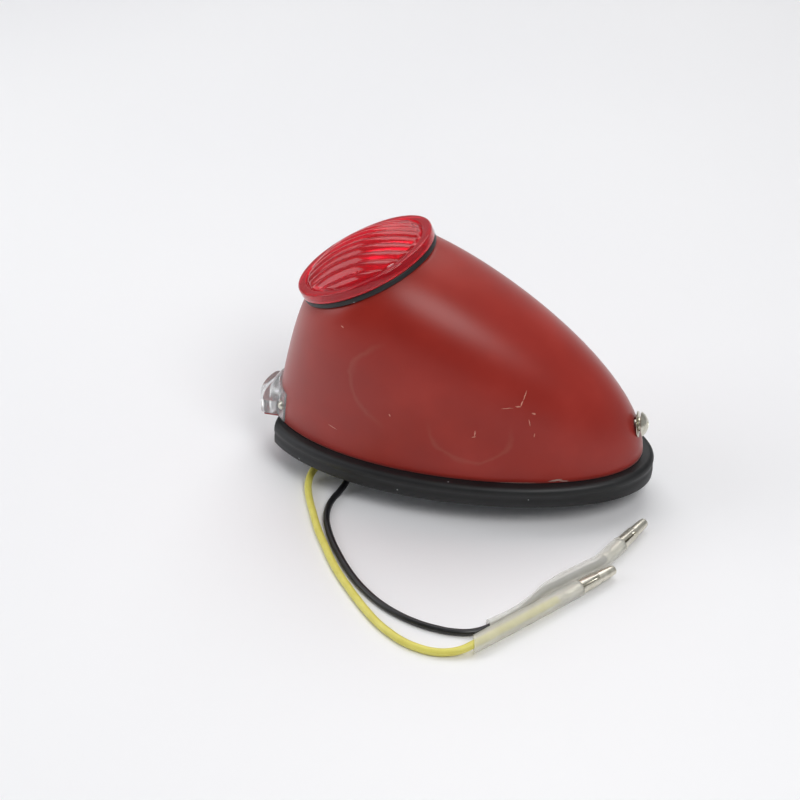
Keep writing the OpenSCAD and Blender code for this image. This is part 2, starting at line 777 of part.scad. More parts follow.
// Leads inside the shell, from the grommet up to the contact and the earth tag
inner_yellow_route = [
    [-47.9, -16, 18.5], [-47.9, -16, 24.5], [-46.2, -14.8, 28], [-42.6, -12.2, 29.6],
    [-40.4, -8, 27.9], [-39, -4, 25.4], [-37.4, -1, 25.2], [-36.1, 0, 26.8], [-36.1, 0, 29]
];
inner_black_route = [
    [-44.1, -16, 18.5], [-44.1, -16, 24.5], [-43.8, -14.4, 26], [-43.1, -11, 25.9],
    [-42.4, -7.4, 24.2], [-42, -3.5, 23.1], [-42, 3, 23.1], [-42, 9.9, 23.1]
];
earth_at = [-42, 17];

module inner_yellow_lead() {
    color("#e6de4a") lead(inner_yellow_route, yellow_d);
}

module inner_black_lead() {
    color("#1b1b1e") lead(inner_black_route, black_d);
}

module earth_tag() {
    color("#c9cbd0") translate([earth_at.x, earth_at.y, plate_top]) difference() {
        union() {
            cylinder(r = 4, h = 0.8);
            rotate([0, 0, -90]) translate([0, -1.5, 0]) cube([7, 3, 0.8]);
        }
        translate([0, 0, -1]) cylinder(r = 2.05, h = 4);
    }
}

module earth_screw() {
    color("#c9c8b8") translate([earth_at.x, earth_at.y, plate_top]) {
        translate([0, 0, 0.8]) intersection() {
            cylinder(r = 3.4, h = 3);
            translate([0, 0, 2.2 - 4.2]) sphere(r = 4.2);
        }
        cylinder(r = 2, h = 1);
    }
}

shell();
lens();
lens_gasket();
plate_window();
window_rivets();
base_gasket();
base_plate();
mounting_studs();
stud_washers();
screw_bracket();
captive_nut();
shell_screw();
screw_washer();
bulb_bracket();
bracket_rivets();
bulb_holder();
holder_insulator();
contact_plunger();
contact_spring();
bulb_cap();
bulb_glass();
bulb_filament();
bulb_contact();
lead_grommet();
inner_yellow_lead();
inner_black_lead();
earth_tag();
earth_screw();
yellow_lead();
black_lead();
yellow_sleeve();
black_sleeve();
yellow_bullet();
black_bullet();
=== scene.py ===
from math import acos, cos, pi, radians, sin, sqrt

import bmesh
import bpy
from mathutils import Matrix, Vector


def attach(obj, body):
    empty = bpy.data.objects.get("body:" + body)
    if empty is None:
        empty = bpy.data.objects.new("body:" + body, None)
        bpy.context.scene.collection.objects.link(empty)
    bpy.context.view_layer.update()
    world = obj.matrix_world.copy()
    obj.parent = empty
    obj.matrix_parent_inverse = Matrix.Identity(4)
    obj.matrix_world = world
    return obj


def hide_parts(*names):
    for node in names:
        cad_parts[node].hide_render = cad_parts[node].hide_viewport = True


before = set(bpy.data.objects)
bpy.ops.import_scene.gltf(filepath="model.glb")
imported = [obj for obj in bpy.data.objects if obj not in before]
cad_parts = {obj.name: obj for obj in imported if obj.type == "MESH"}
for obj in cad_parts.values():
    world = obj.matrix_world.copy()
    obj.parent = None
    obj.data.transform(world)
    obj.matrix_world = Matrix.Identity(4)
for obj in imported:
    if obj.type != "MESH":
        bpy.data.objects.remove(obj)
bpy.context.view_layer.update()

# Motorcycle fender tail light. Metres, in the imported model's frame: +X is the narrow tail,
# -X the blunt end under the lens, -Y the side with the leads, z = 0 the table.

MM = 0.001

# Sizes shared with the solids, in millimetres
TAIL_REACH, BLUNT_REACH, HALF_W, WIDE_X = 84.0, 76.5, 38.0, -2.6
EDGE_Z, STEEL_T = 20.5, 1.0
MOUTH_R, MOUTH_HOLE_R = 29.0, 26.4
SEAT = Vector((-39.2, 0, 96.1))
# At the tail, the side and the blunt end: the skin's rise over the foot, and its slope in degrees
# and its pull at the mouth
FOOT_RISE, MOUTH_FALL, MOUTH_PULL = (34, 32, 2), (22, 48, 57), (34.5, 15, 13)
LENS_TILT = radians(26.7)
FLANGE_T, LENS_R, RIBBED_R, DOME_R = 4.0, 30.5, 26.2, 52.0
RIB_COUNT, RIB_H, RIM_SINK, LENS_WALL = 10, 1.1, 0.8, 2.0
SPIGOT_R, SPIGOT_WALL, SPIGOT_DEPTH = 25.8, 2.0, 7.0
LUG_COUNT, LUG_R, LUG_H, LUG_GAP, LUG_ARC = 3, 27.8, 2.0, 0.4, 20
NOTCH_TURN, NOTCH_ARC = 35, 26
RING_T = 2.6
GASKET_LIP, GASKET_BAND, BEAD_R, CUT_X = 5.0, 7.0, 2.6, -76.0
CROWN_Z, CROWN_R, WHEEL_R = EDGE_Z - 0.1, 110.0, 380.0
HOOD_HALF_W, HOOD_FACE_X, HOOD_BOW_R, HOOD_TOP_Z, STEP_Z = 12.0, -86.4, 26.0, 35.0, 28.0
DOME_FACE_X, HOOD_TOP_X, HOOD_FLANGE_W, LIP_T = -82.4, -74.0, 16.3, 0.8
BLOCK_CORNER, DOME_CORNER, LEDGE_INSET, LEDGE_BACK_X = 1.6, 3.0, 1.0, -73.0
OPENING_HALF_W, OPENING_LOW_Z, OPENING_HIGH_Z = 9.5, 24.0, 32.0
RIVET_TURN = radians(21.5)
SCREW_AT, SCREW_LEAN, SCREW_R, HEAD_R = Vector((78.1, 0, 35.5)), radians(10), 2.0, 5.2

LENS_UP = Vector((-sin(LENS_TILT), 0, cos(LENS_TILT)))
LENS_FORE = Vector((cos(LENS_TILT), 0, sin(LENS_TILT)))

# Routes of the leads, in millimetres, with their sleeves and terminals
YELLOW_D, BLACK_D = 3.2, 2.8
YELLOW_ROUTE = [
    (-47.9, -16, 18.5), (-47.9, -16, 16.3), (-48.8, -17, 12.8), (-51.5, -19.3, 9),
    (-54.8, -22.3, 6), (-57, -26, 3.9), (-57.2, -31, 2.2), (-55.8, -36.5, 1.6),
    (-53, -43.5, 1.6), (-50, -50, 1.6), (-46.7, -57, 1.6), (-43, -64, 1.6),
    (-38.5, -71.5, 1.6), (-34, -79, 1.6), (-28.5, -87, 1.6), (-22.5, -94.5, 1.6),
    (-17, -101, 1.6), (-11.5, -107, 1.6), (-5.5, -112.8, 1.6), (0.5, -117.2, 1.6),
    (6, -120.4, 1.6), (12, -122.4, 1.6), (18, -123.2, 1.6), (23.7, -122.5, 1.8),
    (28.8, -120.6, 2.5),
]
YELLOW_BEND = [(33.2, -117.2, 3.5), (41.5, -106.7, 3.5), (50, -95.8, 3.5)]
YELLOW_END, YELLOW_TURN = Vector((67.1, -73.8, 3.5)), radians(52)
BLACK_ROUTE = [
    (-44.1, -16, 18.5), (-44.1, -16, 16.3), (-43.4, -17, 12.8), (-41.8, -19.5, 9),
    (-40.6, -23, 6), (-41, -28, 3.6), (-42.6, -33.5, 1.8), (-44.1, -39, 1.4),
    (-44.4, -46, 1.4), (-43, -53.5, 1.4), (-40.2, -60.5, 1.4), (-36.5, -67.5, 1.4),
    (-32.1, -74.5, 1.4), (-27.2, -81.5, 1.4), (-21.5, -88.5, 1.4), (-15, -95, 1.4),
    (-8, -100.5, 1.4), (0, -105, 1.4), (8, -108, 1.4), (16, -109.6, 1.4),
    (24, -109.8, 1.4), (30.8, -108.1, 1.4), (36.3, -104, 1.4), (41.3, -98.2, 1.4),
    (46.1, -91.9, 1.5), (49.8, -85.7, 2.3),
]
BLACK_BEND = [(53.4, -79.7, 3.5), (59.5, -71.8, 3.5), (65.9, -64, 3.5), (70.7, -58.5, 3.5)]
BLACK_END, BLACK_TURN = Vector((79.1, -42, 3.5)), radians(66)
YELLOW_LENGTH, BLACK_LENGTH = 0.2109, 0.2189
CRIMP_LEN, CRIMP_LEAD_IN = 12.0, 3.0
BULLET_LEN, BARREL_LEN, BARREL_R, CRIMP_R, NOSE_R = 19.0, 10.2, 2.9, 1.9, 2.35
SEAM_TURN, SEAM_ARC, BARREL_GAP = 222, 22, 0.5
INNER_YELLOW = [
    (-47.9, -16, 18.5), (-47.9, -16, 24.5), (-46.2, -14.8, 28), (-42.6, -12.2, 29.6),
    (-40.4, -8, 27.9), (-39, -4, 25.4), (-37.4, -1, 25.2), (-36.1, 0, 26.8), (-36.1, 0, 29),
]
INNER_BLACK = [
    (-44.1, -16, 18.5), (-44.1, -16, 24.5), (-43.8, -14.4, 26), (-43.1, -11, 25.9),
    (-42.4, -7.4, 24.2), (-42, -3.5, 23.1), (-42, 3, 23.1), (-42, 9.9, 23.1),
]

# Marks on the near side of the primer, as start, end and width in millimetres
SCRATCHES = [
    ((34.4, -27.4, 62.8), (33.3, -29.5, 58.7), 0.32), ((33.3, -29.5, 58.7), (32.7, -30.4, 56.7), 0.4),
    ((32.7, -30.6, 56.4), (30.7, -31.1, 56.6), 0.4), ((24.9, -33.1, 55.8), (30.1, -31.5, 56.0), 0.2),
    ((37.4, -29.6, 53.4), (38.8, -29.2, 53.0), 0.5), ((36.4, -30.6, 50.9), (37.2, -31.0, 48.0), 0.25),
    ((39.2, -31.0, 44.6), (39.1, -31.3, 43.1), 0.28), ((-20.4, -37.5, 48.1), (-20.0, -37.5, 47.2), 0.4),
    ((15.5, -36.3, 45.4), (15.3, -36.6, 42.6), 0.32), ((14.2, -36.7, 42.1), (15.9, -36.5, 42.6), 0.34),
    ((-48.4, -30.7, 33.8), (-44.1, -32.2, 32.6), 0.3), ((-42.0, -32.4, 84.3), (-41.1, -32.8, 83.8), 0.4),
]
CHIPS = [
    ((46.1, -30.9, 21.6), (51.8, -28.9, 22.4), 0.7), ((50.2, -29.6, 21.8), (54.6, -27.9, 21.0), 0.6),
    ((24.0, -36.0, 20.6), (44.0, -31.7, 20.8), 0.3),
]
# Wiped patches: middle, reach, axis along which the edge fades, and where it is full and gone
PATCHES = [
    ((-17, -36.5, 61), (19.5, 30, 20.5), "X", -31, -22),
    ((13, -37, 47), (17.3, 30, 17.3), "Z", 38, 48),
]


def mesh_of(name, bm):
    """A mesh from a bmesh, which is freed."""
    mesh = bpy.data.meshes.new(name)
    bm.to_mesh(mesh)
    bm.free()
    return mesh


def put(name, data):
    """A new object in the scene."""
    thing = bpy.data.objects.new(name, data)
    bpy.context.scene.collection.objects.link(thing)
    return thing


def make_camera():
    """The photo's camera: above the side with the leads, a little towards the tail."""
    azimuth, elevation, roll = radians(13), radians(34), radians(1.0)
    aim, distance = Vector((-0.0246, 0, 0.030)), 0.8
    sensor_mm, focal_px, photo_px = 36, 1850, 800
    back = Vector((sin(azimuth) * cos(elevation), -cos(azimuth) * cos(elevation), sin(elevation)))
    right = Vector((cos(azimuth), sin(azimuth), 0))
    up = back.cross(right)
    side = right * cos(roll) + up * sin(roll)
    rise = up * cos(roll) - right * sin(roll)
    data = bpy.data.cameras.new("camera")
    data.sensor_width = sensor_mm
    data.lens = sensor_mm * focal_px / photo_px
    camera = put("camera", data)
    turn = Matrix((side, rise, back)).transposed().to_4x4()
    camera.matrix_world = Matrix.Translation(aim + back * distance) @ turn
    bpy.context.scene.camera = camera


make_camera()


def linear(hex_code):
    """Linear colour of an sRGB hex code."""
    parts = [int(hex_code[i:i + 2], 16) / 255 for i in (1, 3, 5)]
    return [c / 12.92 if c <= 0.04045 else ((c + 0.055) / 1.055) ** 2.4 for c in parts] + [1]


def add(material, kind, settings=None, links=None, stops=None):
    """One node with its settings, its links from other nodes' outputs, and a ramp's stops."""
    tree = material.node_tree
    node = tree.nodes.new(kind)
    for key, value in (settings or {}).items():
        if isinstance(key, int) or key in node.inputs:
            node.inputs[key].default_value = value
        else:
            setattr(node, key, value)
    for key, (source, output) in (links or {}).items():
        tree.links.new(source.outputs[output], node.inputs[key])
    for i, (position, colour) in enumerate(stops or []):
        line = node.color_ramp.elements
        stop = line[i] if i < len(line) else line.new(position)
        stop.position, stop.color = position, linear(colour)
    return node


def start(name):
    """An empty material, and where a point of it lies in millimetres."""
    material = bpy.data.materials.new(name)
    material.use_nodes = True
    material.node_tree.nodes.clear()
    place = add(material, "ShaderNodeTexCoord")
    place = add(material, "ShaderNodeVectorMath", {"operation": "SCALE", "Scale": 1 / MM},
                {0: (place, "Object")})
    return material, (place, "Vector")


def largest(material, masks):
    """The highest of several masks at each point."""
    total = masks[0]
    for mask in masks[1:]:
        total = add(material, "ShaderNodeMath", {"operation": "MAXIMUM"}, {0: (total, 0), 1: (mask, 0)})
    return total


def strokes(material, place, marks):
    """Mask of ragged strokes, each a thin ellipsoid from its start to its end."""
    shake, past_end, depth = 0.5, 0.3, 1.4
    noise = add(material, "ShaderNodeTexNoise", {"Scale": 1 / 0.9, "Detail": 2.0}, {"Vector": place})
    ragged = add(material, "ShaderNodeVectorMath", {"operation": "MULTIPLY_ADD", 1: (shake,) * 3},
                 {0: (noise, "Color"), 2: place})
    masks = []
    for begin, end, width in marks:
        begin, end = Vector(begin), Vector(end)
        run = (end - begin).normalized()
        deep = (Vector((0, -1, 0)) + run.y * run).normalized()
        turn = Matrix((run, deep.cross(run), deep)).transposed().to_euler()
        middle = (begin + end) / 2 + Vector((shake / 2,) * 3)
        reach = ((end - begin).length / 2 + past_end, 0.8 * width, depth)
        at = add(material, "ShaderNodeMapping",
                 {"vector_type": "TEXTURE", "Location": middle, "Rotation": turn, "Scale": reach},
                 {"Vector": (ragged, "Vector")})
        out = add(material, "ShaderNodeVectorMath", {"operation": "LENGTH"}, {0: (at, "Vector")})
        masks.append(add(material, "ShaderNodeMapRange", {"From Min": 1.0, "From Max": 0.5},
                         {"Value": (out, "Value")}))
    return largest(material, masks)


def tide_lines(material, place):
    """Mask of the thin ragged edges of the wiped patches, each fading out along its axis."""
    ragged = 0.4
    wobble = add(material, "ShaderNodeTexNoise", {"Scale": 1 / 11, "Detail": 3.0}, {"Vector": place})
    parts = add(material, "ShaderNodeSeparateXYZ", links={"Vector": place})
    masks = []
    for middle, reach, axis, full, gone in PATCHES:
        at = add(material, "ShaderNodeMapping",
                 {"vector_type": "TEXTURE", "Location": middle, "Scale": reach}, {"Vector": place})
        out = add(material, "ShaderNodeVectorMath", {"operation": "LENGTH"}, {0: (at, "Vector")})
        out = add(material, "ShaderNodeMath", {"operation": "MULTIPLY_ADD", 1: ragged},
                  {0: (wobble, "Fac"), 2: (out, "Value")})
        off = add(material, "ShaderNodeMath", {"operation": "SUBTRACT", 1: 1 + ragged / 2},
                  {0: (out, 0)})
        off = add(material, "ShaderNodeMath", {"operation": "ABSOLUTE"}, {0: (off, 0)})
        line = add(material, "ShaderNodeMapRange", {"From Min": 0.08, "From Max": 0.01},
                   {"Value": (off, 0)})
        fade = add(material, "ShaderNodeMapRange", {"From Min": gone, "From Max": full},
                   {"Value": (parts, axis)})
        masks.append(add(material, "ShaderNodeMath", {"operation": "MULTIPLY"},
                         {0: (line, 0), 1: (fade, 0)}))
    return largest(material, masks)


def red_oxide_primer():
    """Red oxide primer sprayed on pressed steel: brownish red and nearly matt, with a soft wide
    highlight, faint edges of wiped patches, pale scratches, and chips down to grey filler."""
    material, place = start("sprayed_red_oxide_primer")
    clouds = add(material, "ShaderNodeTexNoise", {"Scale": 1 / 30, "Detail": 3.0}, {"Vector": place})
    fresh = add(material, "ShaderNodeValToRGB", links={"Fac": (clouds, "Fac")},
                stops=[(0.3, "#942014"), (0.55, "#9C2417"), (0.75, "#A62C20")])
    paint = (fresh, "Color")
    scratch = strokes(material, place, SCRATCHES)
    for mask, strength, colour in (
        (tide_lines(material, place), 0.18, "#B06A5C"),
        (scratch, 0.8, "#DDA08C"),
        (strokes(material, place, CHIPS), 0.75, "#C9BDB2"),
    ):
        share = add(material, "ShaderNodeMath", {"operation": "MULTIPLY", 1: strength}, {0: (mask, 0)})
        marked = add(material, "ShaderNodeMix", {"data_type": "RGBA", 7: linear(colour)},
                     {"Factor": (share, 0), 6: paint})
        paint = (marked, 2)
    spray = add(material, "ShaderNodeTexNoise", {"Scale": 1 / 0.8, "Detail": 2.0}, {"Vector": place})
    height = add(material, "ShaderNodeMath", {"operation": "MULTIPLY_ADD", 1: -4.0},
                 {0: (scratch, 0), 2: (spray, "Fac")})
    bump = add(material, "ShaderNodeBump", {"Distance": 0.012 * MM}, {"Height": (height, 0)})
    rough = add(material, "ShaderNodeMapRange", {"To Min": 0.33, "To Max": 0.43},
                {"Value": (clouds, "Fac")})
    surface = add(material, "ShaderNodeBsdfPrincipled",
                  {"Specular IOR Level": 0.4, "Sheen Weight": 0.3, "Sheen Roughness": 0.4},
                  {"Base Color": paint, "Roughness": (rough, 0), "Normal": (bump, 0)})
    add(material, "ShaderNodeOutputMaterial", links={"Surface": (surface, 0)})
    return material


def red_acrylic():
    """Red acrylic, injection moulded: glossy, and cloudy enough inside to glow bright red."""
    material, place = start("moulded_red_acrylic")
    flow = add(material, "ShaderNodeTexNoise", {"Scale": 1 / 9, "Detail": 1.0}, {"Vector": place})
    colour = add(material, "ShaderNodeValToRGB", links={"Fac": (flow, "Fac")},
                 stops=[(0.35, "#F81A30"), (0.7, "#FF263E")])
    rough = add(material, "ShaderNodeMapRange", {"To Min": 0.04, "To Max": 0.08}, {"Value": (flow, "Fac")})
    surface = add(material, "ShaderNodeBsdfPrincipled", {"Transmission Weight": 0.72, "IOR": 1.49},
                  {"Base Color": (colour, "Color"), "Roughness": (rough, 0)})
    add(material, "ShaderNodeOutputMaterial", links={"Surface": (surface, 0)})
    return material


def clear_acrylic():
    """Clear acrylic, moulded: nearly water clear, so that its edges and gloss show it."""
    material, place = start("moulded_clear_acrylic")
    haze = add(material, "ShaderNodeTexNoise", {"Scale": 1 / 6, "Detail": 1.0}, {"Vector": place})
    colour = add(material, "ShaderNodeValToRGB", links={"Fac": (haze, "Fac")},
                 stops=[(0.3, "#F9FBFC"), (0.7, "#FFFFFF")])
    rough = add(material, "ShaderNodeMapRange", {"To Min": 0.03, "To Max": 0.09}, {"Value": (haze, "Fac")})
    surface = add(material, "ShaderNodeBsdfPrincipled", {"Transmission Weight": 0.85, "IOR": 1.49},
                  {"Base Color": (colour, "Color"), "Roughness": (rough, 0)})
    add(material, "ShaderNodeOutputMaterial", links={"Surface": (surface, 0)})
    return material


def blown_glass():
    """Soda glass, blown thin: clear, with slight waves."""
    material, place = start("blown_glass")
    waves = add(material, "ShaderNodeTexNoise", {"Scale": 1 / 7, "Detail": 1.0}, {"Vector": place})
    colour = add(material, "ShaderNodeValToRGB", links={"Fac": (waves, "Fac")},
                 stops=[(0.3, "#F4F6F4"), (0.7, "#FCFCFA")])
    rough = add(material, "ShaderNodeMapRange", {"To Min": 0.01, "To Max": 0.03}, {"Value": (waves, "Fac")})
    surface = add(material, "ShaderNodeBsdfPrincipled", {"Transmission Weight": 1.0, "IOR": 1.5},
                  {"Base Color": (colour, "Color"), "Roughness": (rough, 0)})
    add(material, "ShaderNodeOutputMaterial", links={"Surface": (surface, 0)})
    return material


def rubber(name, dark, light, grain_mm):
    """Black rubber, pressed in a mould: dark grey, a dull sheen, a fine grain and stray dust."""
    material, place = start(name)
    wear = add(material, "ShaderNodeTexNoise", {"Scale": 1 / 14, "Detail": 4.0}, {"Vector": place})
    colour = add(material, "ShaderNodeValToRGB", links={"Fac": (wear, "Fac")},
                 stops=[(0.3, dark), (0.7, light)])
    dust = add(material, "ShaderNodeTexVoronoi", {"Scale": 1 / 9}, {"Vector": place})
    speck = add(material, "ShaderNodeMapRange", {"From Min": 0.05, "From Max": 0.025},
                {"Value": (dust, "Distance")})
    colour = add(material, "ShaderNodeMix", {"data_type": "RGBA", 7: linear("#8C8E90")},
                 {"Factor": (speck, 0), 6: (colour, "Color")})
    grain = add(material, "ShaderNodeTexNoise", {"Scale": 1 / grain_mm, "Detail": 3.0}, {"Vector": place})
    bump = add(material, "ShaderNodeBump", {"Distance": 0.03 * MM}, {"Height": (grain, "Fac")})
    rough = add(material, "ShaderNodeMapRange", {"To Min": 0.42, "To Max": 0.58}, {"Value": (wear, "Fac")})
    surface = add(material, "ShaderNodeBsdfPrincipled",
                  links={"Base Color": (colour, 2), "Roughness": (rough, 0), "Normal": (bump, 0)})
    add(material, "ShaderNodeOutputMaterial", links={"Surface": (surface, 0)})
    return material


def metal(name, dark, light, roughness, grain_mm):
    """Plated or drawn metal: bright, with a fine grain and a shine dulled unevenly by handling."""
    material, place = start(name)
    grain = add(material, "ShaderNodeTexNoise", {"Scale": 1 / grain_mm, "Detail": 3.0}, {"Vector": place})
    colour = add(material, "ShaderNodeValToRGB", links={"Fac": (grain, "Fac")},
                 stops=[(0.3, dark), (0.7, light)])
    bump = add(material, "ShaderNodeBump", {"Distance": 0.003 * MM}, {"Height": (grain, "Fac")})
    rough = add(material, "ShaderNodeMapRange", {"To Min": roughness - 0.05, "To Max": roughness + 0.08},
                {"Value": (grain, "Fac")})
    surface = add(material, "ShaderNodeBsdfPrincipled", {"Metallic": 1.0},
                  {"Base Color": (colour, "Color"), "Roughness": (rough, 0), "Normal": (bump, 0)})
    add(material, "ShaderNodeOutputMaterial", links={"Surface": (surface, 0)})
    return material


def threaded_steel():
    """Zinc plated steel with a rolled thread of 1 mm pitch on its lower end, its colour in fine bands: a
    painted highlight on the crests and painted shade in the roots.
    """
    material, place = start("threaded_zinc_plated_steel")
    parts = add(material, "ShaderNodeSeparateXYZ", links={"Vector": place})
    turns = add(material, "ShaderNodeMath", {"operation": "MULTIPLY", 1: 2 * pi}, {0: (parts, "Z")})
    thread = add(material, "ShaderNodeMath", {"operation": "SINE"}, {0: (turns, 0)})
    low = add(material, "ShaderNodeMapRange", {"From Min": 18.5, "From Max": 17.5}, {"Value": (parts, "Z")})
    height = add(material, "ShaderNodeMath", {"operation": "MULTIPLY"}, {0: (thread, 0), 1: (low, 0)})
    # The colour follows the thread's height: painted shade in the roots, painted highlight on the crests.
    colour = add(material, "ShaderNodeValToRGB", links={"Fac": (height, 0)},
                 stops=[(0.0, "#8D9298"), (0.8, "#C4C8CD")])
    bump = add(material, "ShaderNodeBump", {"Distance": 0.25 * MM}, {"Height": (height, 0)})
    rough = add(material, "ShaderNodeMapRange", {"To Min": 0.28, "To Max": 0.36}, {"Value": (height, 0)})
    surface = add(material, "ShaderNodeBsdfPrincipled", {"Metallic": 1.0},
                  {"Base Color": (colour, "Color"), "Roughness": (rough, 0), "Normal": (bump, 0)})
    add(material, "ShaderNodeOutputMaterial", links={"Surface": (surface, 0)})
    return material


def plastic(name, dark, light, roughness, grain_mm):
    """Extruded or pressed plastic: an even colour with slight changes of shade and a soft gloss."""
    material, place = start(name)
    grain = add(material, "ShaderNodeTexNoise", {"Scale": 1 / grain_mm, "Detail": 2.0}, {"Vector": place})
    colour = add(material, "ShaderNodeValToRGB", links={"Fac": (grain, "Fac")},
                 stops=[(0.3, dark), (0.7, light)])
    bump = add(material, "ShaderNodeBump", {"Distance": 0.01 * MM}, {"Height": (grain, "Fac")})
    rough = add(material, "ShaderNodeMapRange", {"To Min": roughness - 0.05, "To Max": roughness + 0.05},
                {"Value": (grain, "Fac")})
    surface = add(material, "ShaderNodeBsdfPrincipled",
                  links={"Base Color": (colour, "Color"), "Roughness": (rough, 0), "Normal": (bump, 0)})
    add(material, "ShaderNodeOutputMaterial", links={"Surface": (surface, 0)})
    return material


def milky_pvc():
    """Soft PVC tube, extruded: milky and half see-through, so that the lead shows through it."""
    material, place = start("soft_milky_pvc")
    haze = add(material, "ShaderNodeTexNoise", {"Scale": 1 / 5, "Detail": 2.0}, {"Vector": place})
    colour = add(material, "ShaderNodeValToRGB", links={"Fac": (haze, "Fac")},
                 stops=[(0.3, "#F1F0E6"), (0.7, "#FAF9F2")])
    bump = add(material, "ShaderNodeBump", {"Distance": 0.12 * MM}, {"Height": (haze, "Fac")})
    rough = add(material, "ShaderNodeMapRange", {"To Min": 0.26, "To Max": 0.4}, {"Value": (haze, "Fac")})
    surface = add(material, "ShaderNodeBsdfPrincipled", {"Alpha": 0.3},
                  {"Base Color": (colour, "Color"), "Roughness": (rough, 0), "Normal": (bump, 0)})
    add(material, "ShaderNodeOutputMaterial", links={"Surface": (surface, 0)})
    return material


PRIMER = red_oxide_primer()
RED = red_acrylic()
CLEAR = clear_acrylic()
GLASS = blown_glass()
GASKET_RUBBER = rubber("pressed_gasket_rubber", "#0D0E10", "#161719", 0.9)
RING_RUBBER = rubber("moulded_ring_rubber", "#0F0F11", "#18191B", 0.7)
ZINC = metal("zinc_plated_steel", "#AEB2B7", "#C6C9CD", 0.34, 1.6)
THREADED = threaded_steel()
NICKEL = metal("nickel_plated_steel", "#CAC6B6", "#E0DDD0", 0.28, 2.4)
TIN = metal("tinned_brass", "#DAD6C6", "#EEEADD", 0.36, 2.2)
BRASS = metal("drawn_brass", "#B8964E", "#CFB06A", 0.3, 1.4)
SPRING_STEEL = metal("spring_steel", "#8D9196", "#A9ADB2", 0.32, 0.7)
SOLDER = metal("soft_solder", "#94989C", "#ACB0B3", 0.42, 0.8)
BOARD = plastic("laminated_board", "#5A371E", "#704A2A", 0.55, 0.6)
YELLOW_PVC = plastic("extruded_yellow_pvc", "#DCD262", "#E6DD70", 0.36, 5.0)
BLACK_PVC = plastic("extruded_black_pvc", "#141416", "#1D1D20", 0.34, 5.0)
SLEEVE_PVC = milky_pvc()

for node, finish in {
    "base_plate": ZINC, "mounting_studs": THREADED, "stud_washers": ZINC, "screw_bracket": ZINC,
    "captive_nut": ZINC, "shell_screw": NICKEL, "screw_washer": NICKEL, "bulb_bracket": ZINC,
    "bracket_rivets": ZINC, "bulb_holder": BRASS, "holder_insulator": BOARD,
    "contact_plunger": BRASS, "contact_spring": SPRING_STEEL, "bulb_cap": BRASS,
    "bulb_glass": GLASS, "bulb_filament": SPRING_STEEL, "bulb_contact": SOLDER,
    "lead_grommet": RING_RUBBER, "earth_tag": TIN, "earth_screw": ZINC, "window_rivets": ZINC,
    "shell": PRIMER, "lens": RED, "lens_gasket": RING_RUBBER, "plate_window": CLEAR,
    "base_gasket": GASKET_RUBBER, "yellow_sleeve": SLEEVE_PVC, "black_sleeve": SLEEVE_PVC,
    "yellow_bullet": TIN, "black_bullet": TIN,
}.items():
    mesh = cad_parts[node].data
    mesh.materials.clear()
    mesh.materials.append(finish)


def piece_of(name, bm, body, finish, stands_for=(), crease=40):
    """A finished piece from a bmesh in millimetres."""
    bmesh.ops.remove_doubles(bm, verts=bm.verts, dist=1e-4)
    bmesh.ops.recalc_face_normals(bm, faces=bm.faces)
    bmesh.ops.scale(bm, vec=(MM, MM, MM), verts=bm.verts)
    mesh = mesh_of(name, bm)
    mesh.materials.append(finish)
    mesh.shade_smooth()
    mesh.set_sharp_from_angle(angle=radians(crease))
    piece = put(name, mesh)
    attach(piece, body)
    if stands_for:
        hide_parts(*stands_for)
    return piece


def first_ring(bm, places):
    """A closed ring of edges through places."""
    ring = bmesh.ops.create_circle(bm, segments=len(places), radius=1)["verts"]
    for corner, place in zip(ring, places):
        corner.co = place
    return ring


def next_ring(bm, ring, places):
    """The ring extruded, its new corners at places."""
    edges = [bm.edges.get((a, b)) for a, b in zip(ring, ring[1:] + ring[:1])]
    made = bmesh.ops.extrude_edge_only(bm, edges=edges)["geom"]
    found = {v.co.copy().freeze(): v for v in made if isinstance(v, bmesh.types.BMVert)}
    corners = [found[v.co.copy().freeze()] for v in ring]
    for corner, place in zip(corners, places):
        corner.co = place
    return corners


def through_rings(bm, rings, closed=False):
    """A skin through rings of places, closed back to the first ring or with both ends filled."""
    ring = first = first_ring(bm, rings[0])
    for places in rings[1:]:
        ring = next_ring(bm, ring, places)
    if closed:
        next_ring(bm, ring, rings[0])
    else:
        bmesh.ops.contextual_create(bm, geom=first)
        bmesh.ops.contextual_create(bm, geom=ring)


def spun(bm, profile, segments, frame_at, begin=0, arc=360):
    """A profile of (radius, height) spun round its axis, then put in place. A part turn has its
    profile closed and both of its ends filled."""
    corners = [bm.verts.new((r, 0, h)) for r, h in profile]
    edges = [bm.edges.new(pair) for pair in zip(corners, corners[1:])]
    made = set(corners)
    if arc < 360:
        edges.append(bm.edges.new((corners[-1], corners[0])))
        bmesh.ops.contextual_create(bm, geom=corners)
    before = set(bm.verts) - made
    spin = bmesh.ops.spin(bm, geom=corners + edges, cent=(0, 0, 0), axis=(0, 0, 1), dvec=(0, 0, 0),
                          angle=radians(arc), steps=segments, use_merge=arc == 360)
    if arc < 360:
        last = [g for g in spin["geom_last"] if isinstance(g, bmesh.types.BMVert)]
        bmesh.ops.contextual_create(bm, geom=last)
    new = [v for v in bm.verts if v not in before]
    bmesh.ops.transform(bm, matrix=frame_at @ Matrix.Rotation(radians(begin), 4, "Z"), verts=new)


def rounded(r0, h0, radius, start_deg, end_deg, steps=6):
    """Points of an arc about (r0, h0) in a profile."""
    return [(r0 + radius * cos(radians(start_deg + (end_deg - start_deg) * i / steps)),
             h0 + radius * sin(radians(start_deg + (end_deg - start_deg) * i / steps)))
            for i in range(steps + 1)]


